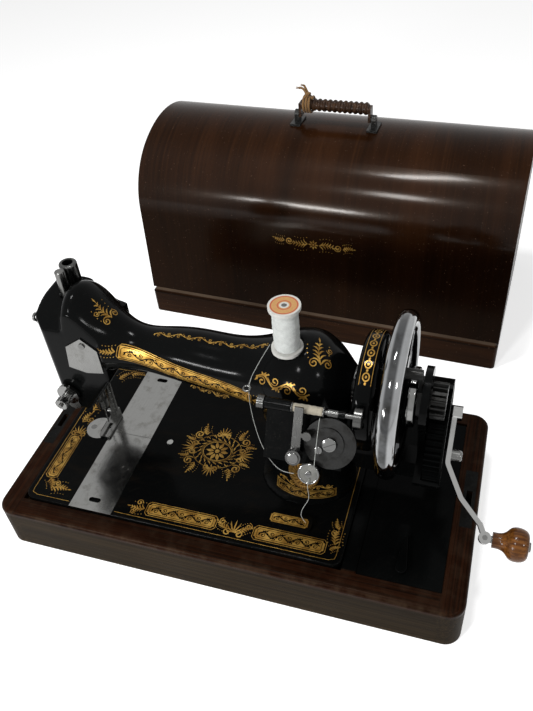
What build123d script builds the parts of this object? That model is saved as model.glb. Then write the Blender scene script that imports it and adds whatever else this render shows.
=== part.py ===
from build123d import *
import math
import os

# Hand-crank sewing machine in its wooden base, with the lift-off cover standing behind it.
# Millimetres. The origin is the middle of the base's underside. X runs along the base towards
# the handwheel, Y towards the back and Z up.

# Fits shared by all pieces
RUN_GAP = 0.05
PASS_GAP = 0.5
SLIDE_GAP = 0.2

# Wooden base: rails round the machine's well and the accessory compartment
LEFT_RAIL = 21.5
RIGHT_RAIL = 20.5
FRONT_RAIL = 18.0
REAR_RAIL = 17.0
BASE_HEIGHT = 51.0
BASE_CORNER_R = 15.0
BASE_EDGE_R = 4.0
BASE_FOOT_R = 1.5
DIVIDER_WIDTH = 12.5
DIVIDER_HOUSING = 6.0
LEDGE_WIDTH = 8.0
BED_GAP = 1.0
BOARD_THICK = 4.0
BOARD_LAP = 6.0

# Accessory compartment and its sheet lid
PANEL_WIDTH = 71.5
PANEL_THICK = 2.0
PANEL_DROP = 0.4
PANEL_LEDGE = 4.0
PANEL_GAP = 0.5
PANEL_PIN_R = 2.0
PANEL_PIN_REACH = 5.0
PANEL_PIN_INSET = 6.0
PANEL_PIN_DROP = 2.5
PANEL_REAR_GAP = 2.5
PULL_LENGTH = 30.0
PULL_RADIUS = 5.0
PULL_RISE = 3.0
PULL_INSET = 14.0

# Catch plates let into the end rails
CATCH_LENGTH = 64.0
CATCH_WIDTH = 11.0
CATCH_THICK = 1.2
CATCH_INSET = 9.5
CATCH_SLOT_LENGTH = 17.0
CATCH_SLOT_WIDTH = 5.0
CATCH_SLOT_DEPTH = 20.0
CATCH_SHIFT = 6.0
CATCH_SCREW_R = 3.4
CATCH_SHANK_R = 1.6
CATCH_SHANK_LENGTH = 9.0
CATCH_SCREW_SPREAD = 44.0

# Machine bed
BED_LENGTH = 311.0
BED_DEPTH = 188.0
BED_THICK = 10.0
BED_PROUD = 3.0
BED_SKIN = 5.0
BED_RIM = 7.0
BED_CORNER_R = 9.0
BED_EDGE_R = 1.5
PAD_LENGTH = 42.0
PAD_WIDTH = 13.0
PAD_RISE = 3.0
PAD_CORNER_R = 3.0
PAD_FROM_RIGHT = 54.0
PAD_FROM_FRONT = 33.0
PLUG_R = 3.0
PLUG_RISE = 0.6
PLUG_FROM_LEFT = 114.0

# Bed hinges
HINGE_SETBACK = 6.0
HINGE_DROP = 5.0
HINGE_PIN_R = 3.0
HINGE_LUG_R = 5.0
HINGE_LUG_LENGTH = 18.0
HINGE_KNUCKLE_LENGTH = 8.0
HINGE_POCKET_R = 7.0
HINGE_LEAF_THICK = 1.5
HINGE_FROM_LEFT = 118.0
HINGE_SPACING = 140.0

# Main lines of the machine: arm, shaft, bars
ARM_SETBACK = 93.5
SHAFT_HEIGHT = 124.0
SHAFT_R = 7.0
BUSH_R = 10.0
BUSH_LENGTH = 12.0
PILLAR_INSET = 46.5
NEEDLE_INSET = 44.5
NEEDLE_OFFSET = 6.0
BAR_SPACING = 15.0
BAR_R = 4.0

# Head of the arm
HEAD_LEFT_OF_NEEDLE = 22.0
HEAD_RIGHT_OF_NEEDLE = 41.0
NOSE_RIGHT_OF_NEEDLE = 9.0
NOSE_HEIGHT = 62.0
CHEEK_HEIGHT = 106.0
HEAD_FRONT_HEIGHT = 168.0
HEAD_REAR_HEIGHT = 184.0
HEAD_SHOULDER = 10.0
HEAD_FRONT_REACH = 25.0
HEAD_REAR_REACH = 34.0
HEAD_BEVEL = 9.0
NECK_SWEEP_R = 34.5
NECK_SWEEP_INSET = 1.0
NECK_SWEEP_LIFT = 3.0
NECK_SWEEP_SKEW = 10.0
CAVITY_WALL = 11.0
CAVITY_BOTTOM = 18.0
CAVITY_TOP = 16.0
CAVITY_RIGHT = 13.0
FACE_PLATE_THICK = 2.0
FACE_PLATE_MARGIN = 3.0

# Arm sections, from the head to the shaft's outer bearing
ARM_ROOT_R = 40.0
ARM_ROOT_HALF_DEPTH = 23.5
ARM_ROOT_LIFT = 17.0
ARM_ROOT_INSET = 36.0
ARM_NECK_R = 25.5
ARM_NECK_LIFT = 12.5
ARM_NECK_OUT = 8.0
ARM_WAIST_R = 21.0
ARM_WAIST_LIFT = 8.0
ARM_WAIST_OUT = 37.0
ARM_MIDDLE_R = 26.0
ARM_MIDDLE_LIFT = 5.0
ARM_MIDDLE_BACK = 82.0
ARM_SHOULDER_R = 33.5
ARM_SHOULDER_LIFT = 3.5
ARM_SHOULDER_BACK = 32.0
DOME_R = 41.0
DOME_LIFT = 5.0
DOME_END_R = 33.0
DOME_END_OUT = 25.0
BEARING_R = 19.0
BEARING_OUT = 39.0

# Pillar sections, from the bed up
FOOT_HALF_LENGTH = 46.0
FOOT_HALF_DEPTH = 41.0
FOOT_SHIFT = 5.0
ANKLE_HALF_LENGTH = 40.0
ANKLE_HALF_DEPTH = 36.0
ANKLE_HEIGHT = 14.0
WAIST_HALF_LENGTH = 35.0
WAIST_HALF_DEPTH = 33.0
WAIST_HEIGHT = 42.0
CROWN_HALF_LENGTH = 37.0
CROWN_HALF_DEPTH = 34.0
PILLAR_BORE_R = 20.0
BADGE_HALF_WIDTH = 14.5
BADGE_HALF_HEIGHT = 18.0
BADGE_HEIGHT = 38.0
BADGE_THICK = 1.2
BADGE_SEAT = 0.3

# Plates on head and bed, and the screws that hold them
PLATE_THICK = 2.6
PLATE_WIDTH = 44.0
PLATE_RIGHT_OF_NEEDLE = 4.0
PLATE_LEDGE = 5.0
PLATE_SPLIT = 2.0
PLATE_JOINT = 0.4
FINGER_HOLE_LENGTH = 12.0
FINGER_HOLE_WIDTH = 5.0
FINGER_HOLE_INSET = 12.0
RACE_END_MARGIN = 18.0
NEEDLE_PLATE_R = 14.0
NEEDLE_PLATE_LEFT = 10.8
NEEDLE_PLATE_FRONT = 3.0
NEEDLE_HOLE_R = 1.2
INSPECTION_WIDTH = 34.0
INSPECTION_HEIGHT = 41.0
INSPECTION_THICK = 1.4
INSPECTION_RIGHT_OF_NEEDLE = 21.0
INSPECTION_BASE_HEIGHT = 115.0
INSPECTION_SHOULDER = 29.0
INSPECTION_SCREW_DROP = 8.0
COVER_SCREW_R = 3.0
COVER_SCREW_HEAD = 1.2
COVER_SHANK_R = 1.3
COVER_SHANK_LENGTH = 1.0

# Needle bar, presser bar and what they carry
NEEDLE_BAR_TOP = 201.5
NEEDLE_BAR_BOTTOM = 34.0
CLAMP_R = 6.0
CLAMP_LENGTH = 10.0
NEEDLE_R = 0.7
NEEDLE_LENGTH = 26.0
PRESSER_BAR_TOP = 182.0
PRESSER_BAR_BOTTOM = 12.0
FOOT_LENGTH = 34.0
FOOT_WIDTH = 12.0
FOOT_THICK = 2.2
FOOT_LIFT = 0.6
FOOT_SLOT = 4.0
FOOT_SHANK = 9.0
SCREW_RING_R = 8.0
SCREW_RING_HEIGHT = 19.0
SCREW_NECK_R = 6.5
SCREW_NECK_LENGTH = 14.0
SCREW_BORE_R = 4.8
SCREW_SEAT_HEIGHT = 181.0
FLUTE_COUNT = 14
FLUTE_R = 0.7
LIFTER_LENGTH = 34.0
LIFTER_WIDTH = 9.0
LIFTER_THICK = 4.0
LIFTER_HEIGHT = 80.0
LIFTER_PIN_R = 2.5
LIFTER_RIGHT = 8.0
TAKE_UP_LENGTH = 50.0
TAKE_UP_WIDTH = 6.0
TAKE_UP_THICK = 2.0
TAKE_UP_EYE_R = 4.0
TAKE_UP_PIVOT_HEIGHT = 116.0
TAKE_UP_PIVOT_BACK = 10.0
TAKE_UP_LEAN = 26.0
TAKE_UP_PIN_R = 2.5

# Thread tension on the head's front
TENSION_LEFT_OF_NEEDLE = 6.0
TENSION_HEIGHT = 84.0
TENSION_POST_R = 2.0
TENSION_FLANGE_R = 6.0
TENSION_FLANGE_THICK = 2.0
TENSION_DISC_R = 11.0
TENSION_DISC_THICK = 1.2
TENSION_DISC_GAP = 0.4
TENSION_NUT_R = 6.0
TENSION_NUT_LENGTH = 6.0
TENSION_SPRING_R = 4.0
TENSION_SPRING_WIRE = 1.0
TENSION_SPRING_TURNS = 3
TENSION_SPRING_PITCH = 1.8
PETAL_LENGTH = 15.0
PETAL_RADIUS = 6.5
PETAL_THICK = 1.0

# Spool
SPOOL_FROM_PILLAR = 14.0
SPOOL_FORWARD = 8.0
SPOOL_HEIGHT = 45.0
SPOOL_FLANGE_R = 13.0
SPOOL_FLANGE_THICK = 3.0
SPOOL_CORE_R = 7.0
SPOOL_PIN_R = 2.2
SPOOL_SEAT_HEIGHT = 164.0
SPOOL_THREAD = 1.2
SPOOL_TURNS = 22
SPOOL_FILL_INSET = 1.5
GUIDE_RING_R = 3.0
GUIDE_WIRE_R = 0.8
GUIDE_STEM = 7.0
GUIDE_FROM_PILLAR = 41.0
GUIDE_FORWARD = 31.0
GUIDE_LIFT = 18.0

# Handwheel
WHEEL_OUT = 28.5
WHEEL_R = 70.0
RIM_HALF_WIDTH = 7.8
RIM_HALF_THICK = 6.0
SPOKE_COUNT = 6
SPOKE_WIDTH = 13.0
SPOKE_THICK = 8.0
HUB_R = 18.0
HUB_LENGTH = 38.0
HUB_OVERHANG = 8.0
PULLEY_R = 50.0
PULLEY_WIDTH = 17.0
PULLEY_ROUND = 5.0
KNOB_R = 25.0
KNOB_WIDTH = 7.5
KNOB_ROUND = 2.0

# Hand crank: pinion on the wheel's axis, gear below it
GEAR_TEETH = 48
PINION_TEETH = 16
TOOTH_MODULE = 1.75
TOOTH_TIP = 1.1
TOOTH_ROOT = 2.6
TOOTH_ADDENDUM = 1.3
TOOTH_DEDENDUM = 2.0
GEAR_WIDTH = 15.0
GEAR_LEAN = 14.0
GEAR_BOSS_R = 13.0
GEAR_STUD_R = 8.0
GEAR_WEB = 6.0
GEAR_RIM = 7.0
GEAR_FLANGE = 1.6
GUARD_GAP = 1.4
FRONT_GUARD_FROM = 15.0
FRONT_GUARD_TO = 80.0
REAR_GUARD_FROM = 200.0
REAR_GUARD_TO = 262.0
GUARD_THICK = 3.5
DRIVER_THICK = 3.0
DRIVER_REACH = 38.0
FINGER_R = 4.5
SLEEVE_R = 9.0
BRACKET_PLATE = 6.0
BRACKET_HEAD_R = 27.0
BRACKET_GEAR_R = 24.0
BRACKET_BEAM = 20.0
BRACKET_BEAM_DROP = 36.0
BRACKET_BEAM_BACK = 14.0
ARM_BAR_WIDTH = 8.0
ARM_BAR_THICK = 4.0
ARM_TAIL = 20.0
ARM_LATCH_REACH = 17.0
ARM_BEND_START = 25.0
ARM_BEND_REACH = 52.0
ARM_ROOT_REACH = 70.0
CRANK_THROW = 80.0
CRANK_ANGLE = 210.0
ARM_DIP = 4.0
ARM_OUT = 19.0
ARM_ROOT_OUT = 37.0
ARM_END_OUT = 42.0
PIVOT_BOSS_R = 6.5
LATCH_R = 5.0
LATCH_LENGTH = 9.0
KNUCKLE_R = 5.0
KNUCKLE_WIDTH = 7.0
KNUCKLE_CHEEK = 2.5
KNUCKLE_PIN_R = 2.0
SPINDLE_R = 3.0
HANDLE_NECK_R = 6.5
HANDLE_BULB_R = 13.4
HANDLE_END_SLOPE = (-0.3, -1)
HANDLE_LENGTH = 28.0
HANDLE_START = 6.0
HANDLE_BULB_AT = 15.5
FERRULE_LENGTH = 3.0
RIVET_R = 4.0
RIVET_THICK = 1.5

# Bobbin winder in front of the pillar
WINDER_CONTACT_ANGLE = 156.3
WINDER_PULLEY_R = 8.0
WINDER_PULLEY_WIDTH = 6.0
WINDER_SPINDLE_R = 2.0
WINDER_TILT = 60.0
WINDER_GEAR_R = 20.5
WINDER_CAM_SHARE = 0.62
WINDER_GEAR_THICK = 3.0
WINDER_WORM_R = 3.0
WINDER_WORM_LENGTH = 8.0
WINDER_BEARING_LENGTH = 5.0
WINDER_GEAR_FROM_BED_END = 12.5
WINDER_BARREL_R = 4.5
WINDER_BARREL_LENGTH = 21.0
WINDER_LEFT_FROM_GEAR = 54.0
WINDER_FRAME_THICK = 4.0
WINDER_FRAME_BACK = 7.0
WINDER_STUD_R = 3.0
WINDER_PIVOT_R = 3.0
WINDER_PIVOT_DROP = 18.0
WINDER_PIVOT_BACK = 24.0
WINDER_LUG_R = 6.0
WINDER_SLAB_SHARE = 0.7
WINDER_LUG_LENGTH = 7.0
WINDER_LUG_SPREAD = 27.0
BOBBIN_LENGTH = 30.0
BOBBIN_R = 4.4
BOBBIN_CORE_R = 2.8
BOBBIN_FLANGE = 1.0
BOBBIN_THREAD = 0.9
GUIDE_LEVER_LEFT = 25.0
GUIDE_LEVER_DOWN = 12.0
GUIDE_LEVER_UP = 27.0
GUIDE_LEVER_WIDTH = 7.0
GUIDE_LEVER_THICK = 2.0
GUIDE_LEVER_AHEAD = 6.0
GUIDE_KNOB_R = 6.0
GUIDE_KNOB_LENGTH = 5.0
FOLLOWER_RIGHT = 8.0
FOLLOWER_UP = 17.0
TENSION_PUCK_R = 8.5
TENSION_PUCK_THICK = 3.0
TENSION_PUCK_LEFT = 13.0
TENSION_PUCK_DOWN = 25.0

# Shuttle drive and feed below the bed
ROCK_SHAFT_R = 5.0
ROCK_SHAFT_TOP = 70.0
ROCK_COLLAR_R = 9.0
ROCK_COLLAR = 4.0
LEVER_DEPTH = 24.0
LEVER_THICK = 5.0
LEVER_WIDTH = 12.0
CARRIER_LENGTH = 52.0
CARRIER_WIDTH = 13.0
CARRIER_WALL = 2.0
SHUTTLE_R = 5.0
SHUTTLE_LENGTH = 42.0
SHUTTLE_NOSE = 16.0
FEED_BAR_LENGTH = 84.0
FEED_BAR_WIDTH = 9.0
FEED_BAR_THICK = 5.0
FEED_BAR_DEPTH = 13.0
FEED_DOG_WIDTH = 3.6
FEED_DOG_LENGTH = 10.0
FEED_SLOT_GAP = 0.6
FEED_TRAVEL = 2.0
FEED_LEFT_OF_NEEDLE = 6.0
FEED_GUIDE_LENGTH = 8.0
FEED_GUIDE_SPREAD = 56.0
FEED_GUIDE_WALL = 4.0

# Cover standing behind the base
LID_LENGTH = 440.0
LID_DEPTH = 225.0
LID_SKIRT_HEIGHT = 36.0
LID_SKIRT_WALL = 12.0
LID_COVE = 5.0
LID_WALL = 6.0
LID_END_THICK = 8.0
LID_FOOT_INSET = 4.5
LID_WALL_TOP = 150.0
LID_WALL_LEAN = 8.5
LID_TURN_IN = 56.0
LID_TURN_HEIGHT = 215.5
LID_TURN_SHARE = 0.87
LID_CORNER_X = -219.4
LID_CORNER_Y = 256.3
LID_YAW = -2.8
BRACKET_SPREAD = 90.0
BRACKET_FOOT_LENGTH = 12.0
BRACKET_FOOT_WIDTH = 24.0
BRACKET_FOOT_THICK = 2.0
BRACKET_POST = 5.0
BRACKET_RISE = 10.0
BAIL_PIN_R = 2.0
BAIL_ARM = 12.0
BAIL_PLATE = 3.0
BAIL_PLATE_WIDTH = 11.0
GRIP_R = 7.0
GRIP_GROOVE = 1.4
GRIP_RIBS = 13
GRIP_RIB_SHARE = 0.4
TIE_R = 1.5
TIE_TURNS = 3
TIE_PITCH = 3.6

# Loose thread
THREAD_DIAMETER = 0.5
ARC_SHARE = 0.45
TURN_SAMPLES = 24


# Places worked out from the sizes above
PANEL_SPACE = PANEL_WIDTH + 2 * PANEL_GAP
BASE_LENGTH = LEFT_RAIL + BED_GAP + BED_LENGTH + BED_GAP + DIVIDER_WIDTH + PANEL_SPACE + RIGHT_RAIL
BASE_DEPTH = FRONT_RAIL + BED_GAP + BED_DEPTH + BED_GAP + REAR_RAIL
BASE_LEFT = -BASE_LENGTH / 2
BASE_FRONT = -BASE_DEPTH / 2
BED_LEFT = BASE_LEFT + LEFT_RAIL + BED_GAP
BED_RIGHT = BED_LEFT + BED_LENGTH
BED_FRONT = BASE_FRONT + FRONT_RAIL + BED_GAP
BED_REAR = BED_FRONT + BED_DEPTH
BED_TOP = BASE_HEIGHT + BED_PROUD
BED_SEAT = BED_TOP - BED_THICK
BOARD_TOP = BOARD_THICK
DIVIDER_LEFT = BED_RIGHT + BED_GAP
PANEL_LEFT = DIVIDER_LEFT + DIVIDER_WIDTH
PANEL_RIGHT = PANEL_LEFT + PANEL_SPACE
PANEL_FRONT = BED_FRONT - BED_GAP
PANEL_REAR = BED_REAR + BED_GAP
PANEL_TOP = BASE_HEIGHT - PANEL_DROP
PANEL_SEAT = PANEL_TOP - PANEL_THICK
PANEL_MIDDLE = (PANEL_LEFT + PANEL_RIGHT) / 2
PANEL_PIN_Y = PANEL_REAR - PANEL_PIN_INSET
PANEL_PIN_Z = PANEL_SEAT - PANEL_PIN_R - PANEL_PIN_DROP
HINGE_Y = BED_REAR + HINGE_SETBACK
HINGE_Z = BED_TOP - HINGE_DROP
ARM_Y = BED_FRONT + ARM_SETBACK
SHAFT_Z = BED_TOP + SHAFT_HEIGHT
PILLAR_X = BED_RIGHT - PILLAR_INSET
NEEDLE_X = BED_LEFT + NEEDLE_INSET
NEEDLE_Y = ARM_Y + NEEDLE_OFFSET
PRESSER_Y = NEEDLE_Y + BAR_SPACING
HEAD_LEFT = NEEDLE_X - HEAD_LEFT_OF_NEEDLE
HEAD_RIGHT = NEEDLE_X + HEAD_RIGHT_OF_NEEDLE
HEAD_FRONT = ARM_Y - HEAD_FRONT_REACH
HEAD_REAR = ARM_Y + HEAD_REAR_REACH
NOSE_Z = BED_TOP + NOSE_HEIGHT
BEARING_X = PILLAR_X + BEARING_OUT
PLATE_LEFT = NEEDLE_X + PLATE_RIGHT_OF_NEEDLE
PLATE_MIDDLE = PLATE_LEFT + PLATE_WIDTH / 2
PLATE_Y = ARM_Y + PLATE_SPLIT
NEEDLE_PLATE_X = NEEDLE_X - NEEDLE_PLATE_LEFT
NEEDLE_PLATE_Y = NEEDLE_Y - NEEDLE_PLATE_FRONT
CAVITY_FLOOR = NOSE_Z + CAVITY_BOTTOM
CAVITY_ROOF = SHAFT_Z + 2 * SHAFT_R + CAVITY_TOP
CAVITY_FRONT = HEAD_FRONT + CAVITY_WALL
CAVITY_REAR = HEAD_REAR - CAVITY_WALL / 2
CAVITY_END = NEEDLE_X + CAVITY_RIGHT
FACE_X = HEAD_LEFT - FACE_PLATE_THICK
TENSION_X = NEEDLE_X - TENSION_LEFT_OF_NEEDLE
TENSION_Z = BED_TOP + TENSION_HEIGHT
SPOOL_X = PILLAR_X - SPOOL_FROM_PILLAR
SPOOL_Y = ARM_Y - SPOOL_FORWARD
SPOOL_Z = BED_TOP + SPOOL_SEAT_HEIGHT
WHEEL_X = BED_RIGHT + WHEEL_OUT
HUB_END = WHEEL_X + HUB_OVERHANG
HUB_START = HUB_END - HUB_LENGTH
KNOB_X = HUB_END + PASS_GAP
KNOB_END = KNOB_X + KNOB_WIDTH
DRIVER_X = KNOB_END + PASS_GAP
BRACKET_X = DRIVER_X + DRIVER_THICK + PASS_GAP
GEAR_X = BRACKET_X + BRACKET_PLATE + 2 * PASS_GAP
GEAR_END = GEAR_X + GEAR_WIDTH
GEAR_PITCH_R = TOOTH_MODULE * GEAR_TEETH / 2
PINION_PITCH_R = TOOTH_MODULE * PINION_TEETH / 2
GEAR_TIP_R = GEAR_PITCH_R + TOOTH_ADDENDUM
CENTRES = GEAR_PITCH_R + PINION_PITCH_R
GEAR_Y = ARM_Y + GEAR_LEAN
GEAR_Z = SHAFT_Z - math.sqrt(CENTRES**2 - GEAR_LEAN**2)
MESH_ANGLE = math.degrees(math.atan2(SHAFT_Z - GEAR_Z, ARM_Y - GEAR_Y))
GUARD_R = GEAR_TIP_R + GUARD_GAP
BEAM_Z = GEAR_Z - BRACKET_BEAM_DROP
LID_MIDDLE = LID_DEPTH / 2


# Small building blocks
def block(x0, x1, y0, y1, z0, z1):
    """A box between two corners."""
    middle = Pos((x0 + x1) / 2, (y0 + y1) / 2, (z0 + z1) / 2)
    return middle * Box(x1 - x0, y1 - y0, z1 - z0)


def rod(start, direction, length, radius):
    """A round bar from a point along a direction."""
    place = Plane(origin=start, z_dir=direction)
    return place * Cylinder(radius, length, align=(Align.CENTER, Align.CENTER, Align.MIN))


def ring(start, direction, length, radius, bore):
    """A round bar with a bore."""
    return rod(start, direction, length, radius) - rod(start, direction, length, bore)


def rounded_block(x0, x1, y0, y1, z0, z1, corner):
    """A box with rounded upright corners."""
    body = block(x0, x1, y0, y1, z0, z1)
    return fillet(body.edges().filter_by(Axis.Z), corner)


def prism(points, plane, depth):
    """A polygon drawn on a plane and pulled out along its normal."""
    outline = make_face(Polyline(*points, close=True))
    return extrude(plane * outline, amount=depth)


def across(x):
    """The plane square to X at x, drawn as Y and Z."""
    return Plane(origin=(x, 0, 0), x_dir=(0, 1, 0), z_dir=(1, 0, 0))


def lengthwise(y):
    """The plane square to Y at y, drawn as X and Z, facing the front."""
    return Plane(origin=(0, y, 0), x_dir=(1, 0, 0), z_dir=(0, -1, 0))


def biarc(start, start_dir, end, end_dir):
    """Two tangent arcs that join two points with given directions."""
    chord = end - start
    both = start_dir + end_dir
    bend = 2 * (1 - start_dir.dot(end_dir))
    along = chord.dot(both)
    reach = (math.sqrt(along**2 + bend * chord.dot(chord)) - along) / bend
    near = start + start_dir * reach
    far = end - end_dir * reach
    joint = (near + far) / 2
    first = TangentArc(start, joint, tangent=start_dir)
    second = TangentArc(joint, end, tangent=(far - near).normalized())
    return [first, second]


def coil_edges(radius, pitch, turns):
    """A helix about Z from the origin plane, made of two biarcs a half turn."""
    steps = 4 * turns
    rise = pitch / (2 * math.pi)
    points = []
    headings = []
    for step in range(steps + 1):
        angle = step * math.pi / 2
        points.append(Vector(radius * math.cos(angle), radius * math.sin(angle), rise * angle))
        heading = Vector(-radius * math.sin(angle), radius * math.cos(angle), rise)
        headings.append(heading.normalized())
    edges = []
    for step in range(steps):
        edges += biarc(points[step], headings[step], points[step + 1], headings[step + 1])
    lead_in = Line(points[0] - headings[0] * (pitch / 2), points[0])
    lead_out = Line(points[-1], points[-1] + headings[-1] * (pitch / 2))
    return [lead_in] + edges + [lead_out]


def coil(radius, pitch, turns, wire, name):
    """One unbroken wound wire about Z, with its least gap to itself printed."""
    path = Wire(coil_edges(radius, pitch, turns))
    start = path @ 0
    section = Plane(origin=start, z_dir=path % 0) * Circle(wire / 2)
    samples = TURN_SAMPLES * turns
    points = []
    for step in range(samples + 1):
        points.append(path @ (step / samples))
    gaps = []
    for step, place in enumerate(points):
        near = points[step + TURN_SAMPLES * 3 // 4:step + TURN_SAMPLES * 5 // 2]
        gaps += [(place - other).length for other in near]
    least = min(gaps)
    print(name, "least gap between turns", round(least - wire, 2))
    return sweep(section, path=path)


def cord(points, name):
    """A thread along straight runs joined by arcs as large as the runs allow."""
    places = [Vector(*point) for point in points]
    radii = []
    for before, corner, after in zip(places, places[1:], places[2:]):
        turn = math.radians((corner - before).get_angle(after - corner))
        shorter = min((corner - before).length, (after - corner).length)
        radii.append(ARC_SHARE * shorter / math.tan(turn / 2))
    path = FilletPolyline(*places, radius=radii)
    section = Plane(origin=path @ 0, z_dir=path % 0) * Circle(THREAD_DIAMETER / 2)
    tube = sweep(section, path=path)
    ideal = math.pi * THREAD_DIAMETER**2 / 4 * path.length
    print(name, "length", round(path.length, 1), "least radius", round(min(radii), 2),
          "volume ratio", round(tube.volume / ideal, 4))
    return tube


# Wooden base
def catch_places():
    """Where the two catch plates sit: outer edge of each end rail."""
    middle = ARM_Y + CATCH_SHIFT
    return [(BASE_LEFT + CATCH_INSET, middle), (-BASE_LEFT - CATCH_INSET, middle)]


def catch_screw_places():
    """Two screws a plate."""
    return [(x, y + side * CATCH_SCREW_SPREAD / 2) for x, y in catch_places() for side in (-1, 1)]


def hinge_places():
    """Left end of each hinge lug."""
    first = BED_LEFT + HINGE_FROM_LEFT
    return [first, first + HINGE_SPACING]


def make_base_frame():
    """The four rails as one frame, with the bed's rebate and the lid's rebate."""
    body = rounded_block(BASE_LEFT, -BASE_LEFT, BASE_FRONT, -BASE_FRONT, 0, BASE_HEIGHT, BASE_CORNER_R)
    body = fillet(body.faces().sort_by(Axis.Z)[-1].edges(), BASE_EDGE_R)
    body = fillet(body.faces().sort_by(Axis.Z)[0].edges(), BASE_FOOT_R)
    well_left = BED_LEFT - BED_GAP + LEDGE_WIDTH
    well_front = BED_FRONT - BED_GAP + LEDGE_WIDTH
    well_rear = BED_REAR + BED_GAP - LEDGE_WIDTH
    room_right = PANEL_RIGHT - PANEL_LEDGE
    body -= block(well_left, room_right, well_front, well_rear, 0, BASE_HEIGHT)
    body -= block(BED_LEFT - BED_GAP, DIVIDER_LEFT, BED_FRONT - BED_GAP, BED_REAR + BED_GAP,
                  BED_SEAT, BASE_HEIGHT)
    body -= block(PANEL_LEFT, PANEL_RIGHT, PANEL_FRONT, PANEL_REAR, PANEL_SEAT, BASE_HEIGHT)
    body -= block(well_left - BOARD_LAP, room_right + BOARD_LAP, well_front - BOARD_LAP,
                  well_rear + BOARD_LAP, 0, BOARD_TOP)
    body -= divider_space()
    body -= panel_relief()
    body -= rod((PANEL_RIGHT - PANEL_LEDGE, PANEL_PIN_Y, PANEL_PIN_Z), (1, 0, 0),
                PANEL_LEDGE + PANEL_PIN_REACH + PASS_GAP, PANEL_PIN_R + RUN_GAP)
    for x, y in catch_places():
        body -= block(x - CATCH_WIDTH / 2, x + CATCH_WIDTH / 2, y - CATCH_LENGTH / 2,
                      y + CATCH_LENGTH / 2, BASE_HEIGHT - CATCH_THICK, BASE_HEIGHT)
        body -= block(x - CATCH_SLOT_WIDTH / 2, x + CATCH_SLOT_WIDTH / 2, y - CATCH_SLOT_LENGTH / 2,
                      y + CATCH_SLOT_LENGTH / 2, BASE_HEIGHT - CATCH_SLOT_DEPTH, BASE_HEIGHT)
    for x, y in catch_screw_places():
        body -= rod((x, y, BASE_HEIGHT), (0, 0, -1), CATCH_THICK + CATCH_SHANK_LENGTH + PASS_GAP,
                    CATCH_SHANK_R + RUN_GAP)
    for x in hinge_places():
        body -= hinge_pocket(x)
    return body


def divider_space():
    """The room that the divider fills, housed in the front and rear rails."""
    return block(DIVIDER_LEFT - LEDGE_WIDTH, PANEL_LEFT + PANEL_LEDGE,
                 BED_FRONT + LEDGE_WIDTH - BED_GAP - DIVIDER_HOUSING,
                 BED_REAR - LEDGE_WIDTH + BED_GAP + DIVIDER_HOUSING, BOARD_TOP, BASE_HEIGHT)


def panel_relief():
    """Room behind the accessory lid's pins for its rear edge to dip into."""
    under = block(
        PANEL_LEFT, PANEL_RIGHT, PANEL_PIN_Y, PANEL_REAR, PANEL_SEAT - PANEL_PIN_DROP + PASS_GAP,
        PANEL_SEAT,
    )
    low = PANEL_PIN_Z - PANEL_PIN_R - PASS_GAP
    return under + block(PANEL_LEFT + PANEL_LEDGE, PANEL_RIGHT - PANEL_LEDGE, BED_REAR + BED_GAP - LEDGE_WIDTH,
                         PANEL_REAR, low, PANEL_SEAT)


def make_divider():
    """The board between well and compartment, rebated for the bed and the lid."""
    body = divider_space()
    reach = BASE_DEPTH / 2
    body -= block(DIVIDER_LEFT - LEDGE_WIDTH, DIVIDER_LEFT, -reach, reach, BED_SEAT, BASE_HEIGHT)
    body -= block(PANEL_LEFT, PANEL_LEFT + PANEL_LEDGE, -reach, reach, PANEL_SEAT, BASE_HEIGHT)
    body -= panel_relief()
    body -= rod((PANEL_LEFT + PANEL_LEDGE, PANEL_PIN_Y, PANEL_PIN_Z), (-1, 0, 0),
                PANEL_LEDGE + PANEL_PIN_REACH + PASS_GAP, PANEL_PIN_R + RUN_GAP)
    return body


def make_bottom_board():
    """The thin board let into the underside."""
    well_left = BED_LEFT - BED_GAP + LEDGE_WIDTH - BOARD_LAP
    well_front = BED_FRONT - BED_GAP + LEDGE_WIDTH - BOARD_LAP
    well_rear = BED_REAR + BED_GAP - LEDGE_WIDTH + BOARD_LAP
    room_right = PANEL_RIGHT - PANEL_LEDGE + BOARD_LAP
    return block(well_left, room_right, well_front, well_rear, 0, BOARD_TOP)


def make_catch_plates():
    """Slotted plates that the cover's tongues enter."""
    plates = []
    for x, y in catch_places():
        plate = block(x - CATCH_WIDTH / 2, x + CATCH_WIDTH / 2, y - CATCH_LENGTH / 2,
                      y + CATCH_LENGTH / 2, BASE_HEIGHT - CATCH_THICK, BASE_HEIGHT)
        plate -= block(x - CATCH_SLOT_WIDTH / 2, x + CATCH_SLOT_WIDTH / 2, y - CATCH_SLOT_LENGTH / 2,
                       y + CATCH_SLOT_LENGTH / 2, 0, BASE_HEIGHT)
        for side in (-1, 1):
            plate -= rod((x, y + side * CATCH_SCREW_SPREAD / 2, 0), (0, 0, 1), BASE_HEIGHT,
                         CATCH_SCREW_R + RUN_GAP)
        plates.append(plate)
    return plates[0] + plates[1]


def make_catch_screws():
    """Wood screws of the catch plates."""
    screws = []
    for x, y in catch_screw_places():
        head = rod((x, y, BASE_HEIGHT - CATCH_THICK), (0, 0, 1), CATCH_THICK, CATCH_SCREW_R)
        shank = rod((x, y, BASE_HEIGHT - CATCH_THICK), (0, 0, -1), CATCH_SHANK_LENGTH, CATCH_SHANK_R)
        screws.append(head + shank)
    return screws[0] + screws[1] + screws[2] + screws[3]


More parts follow.
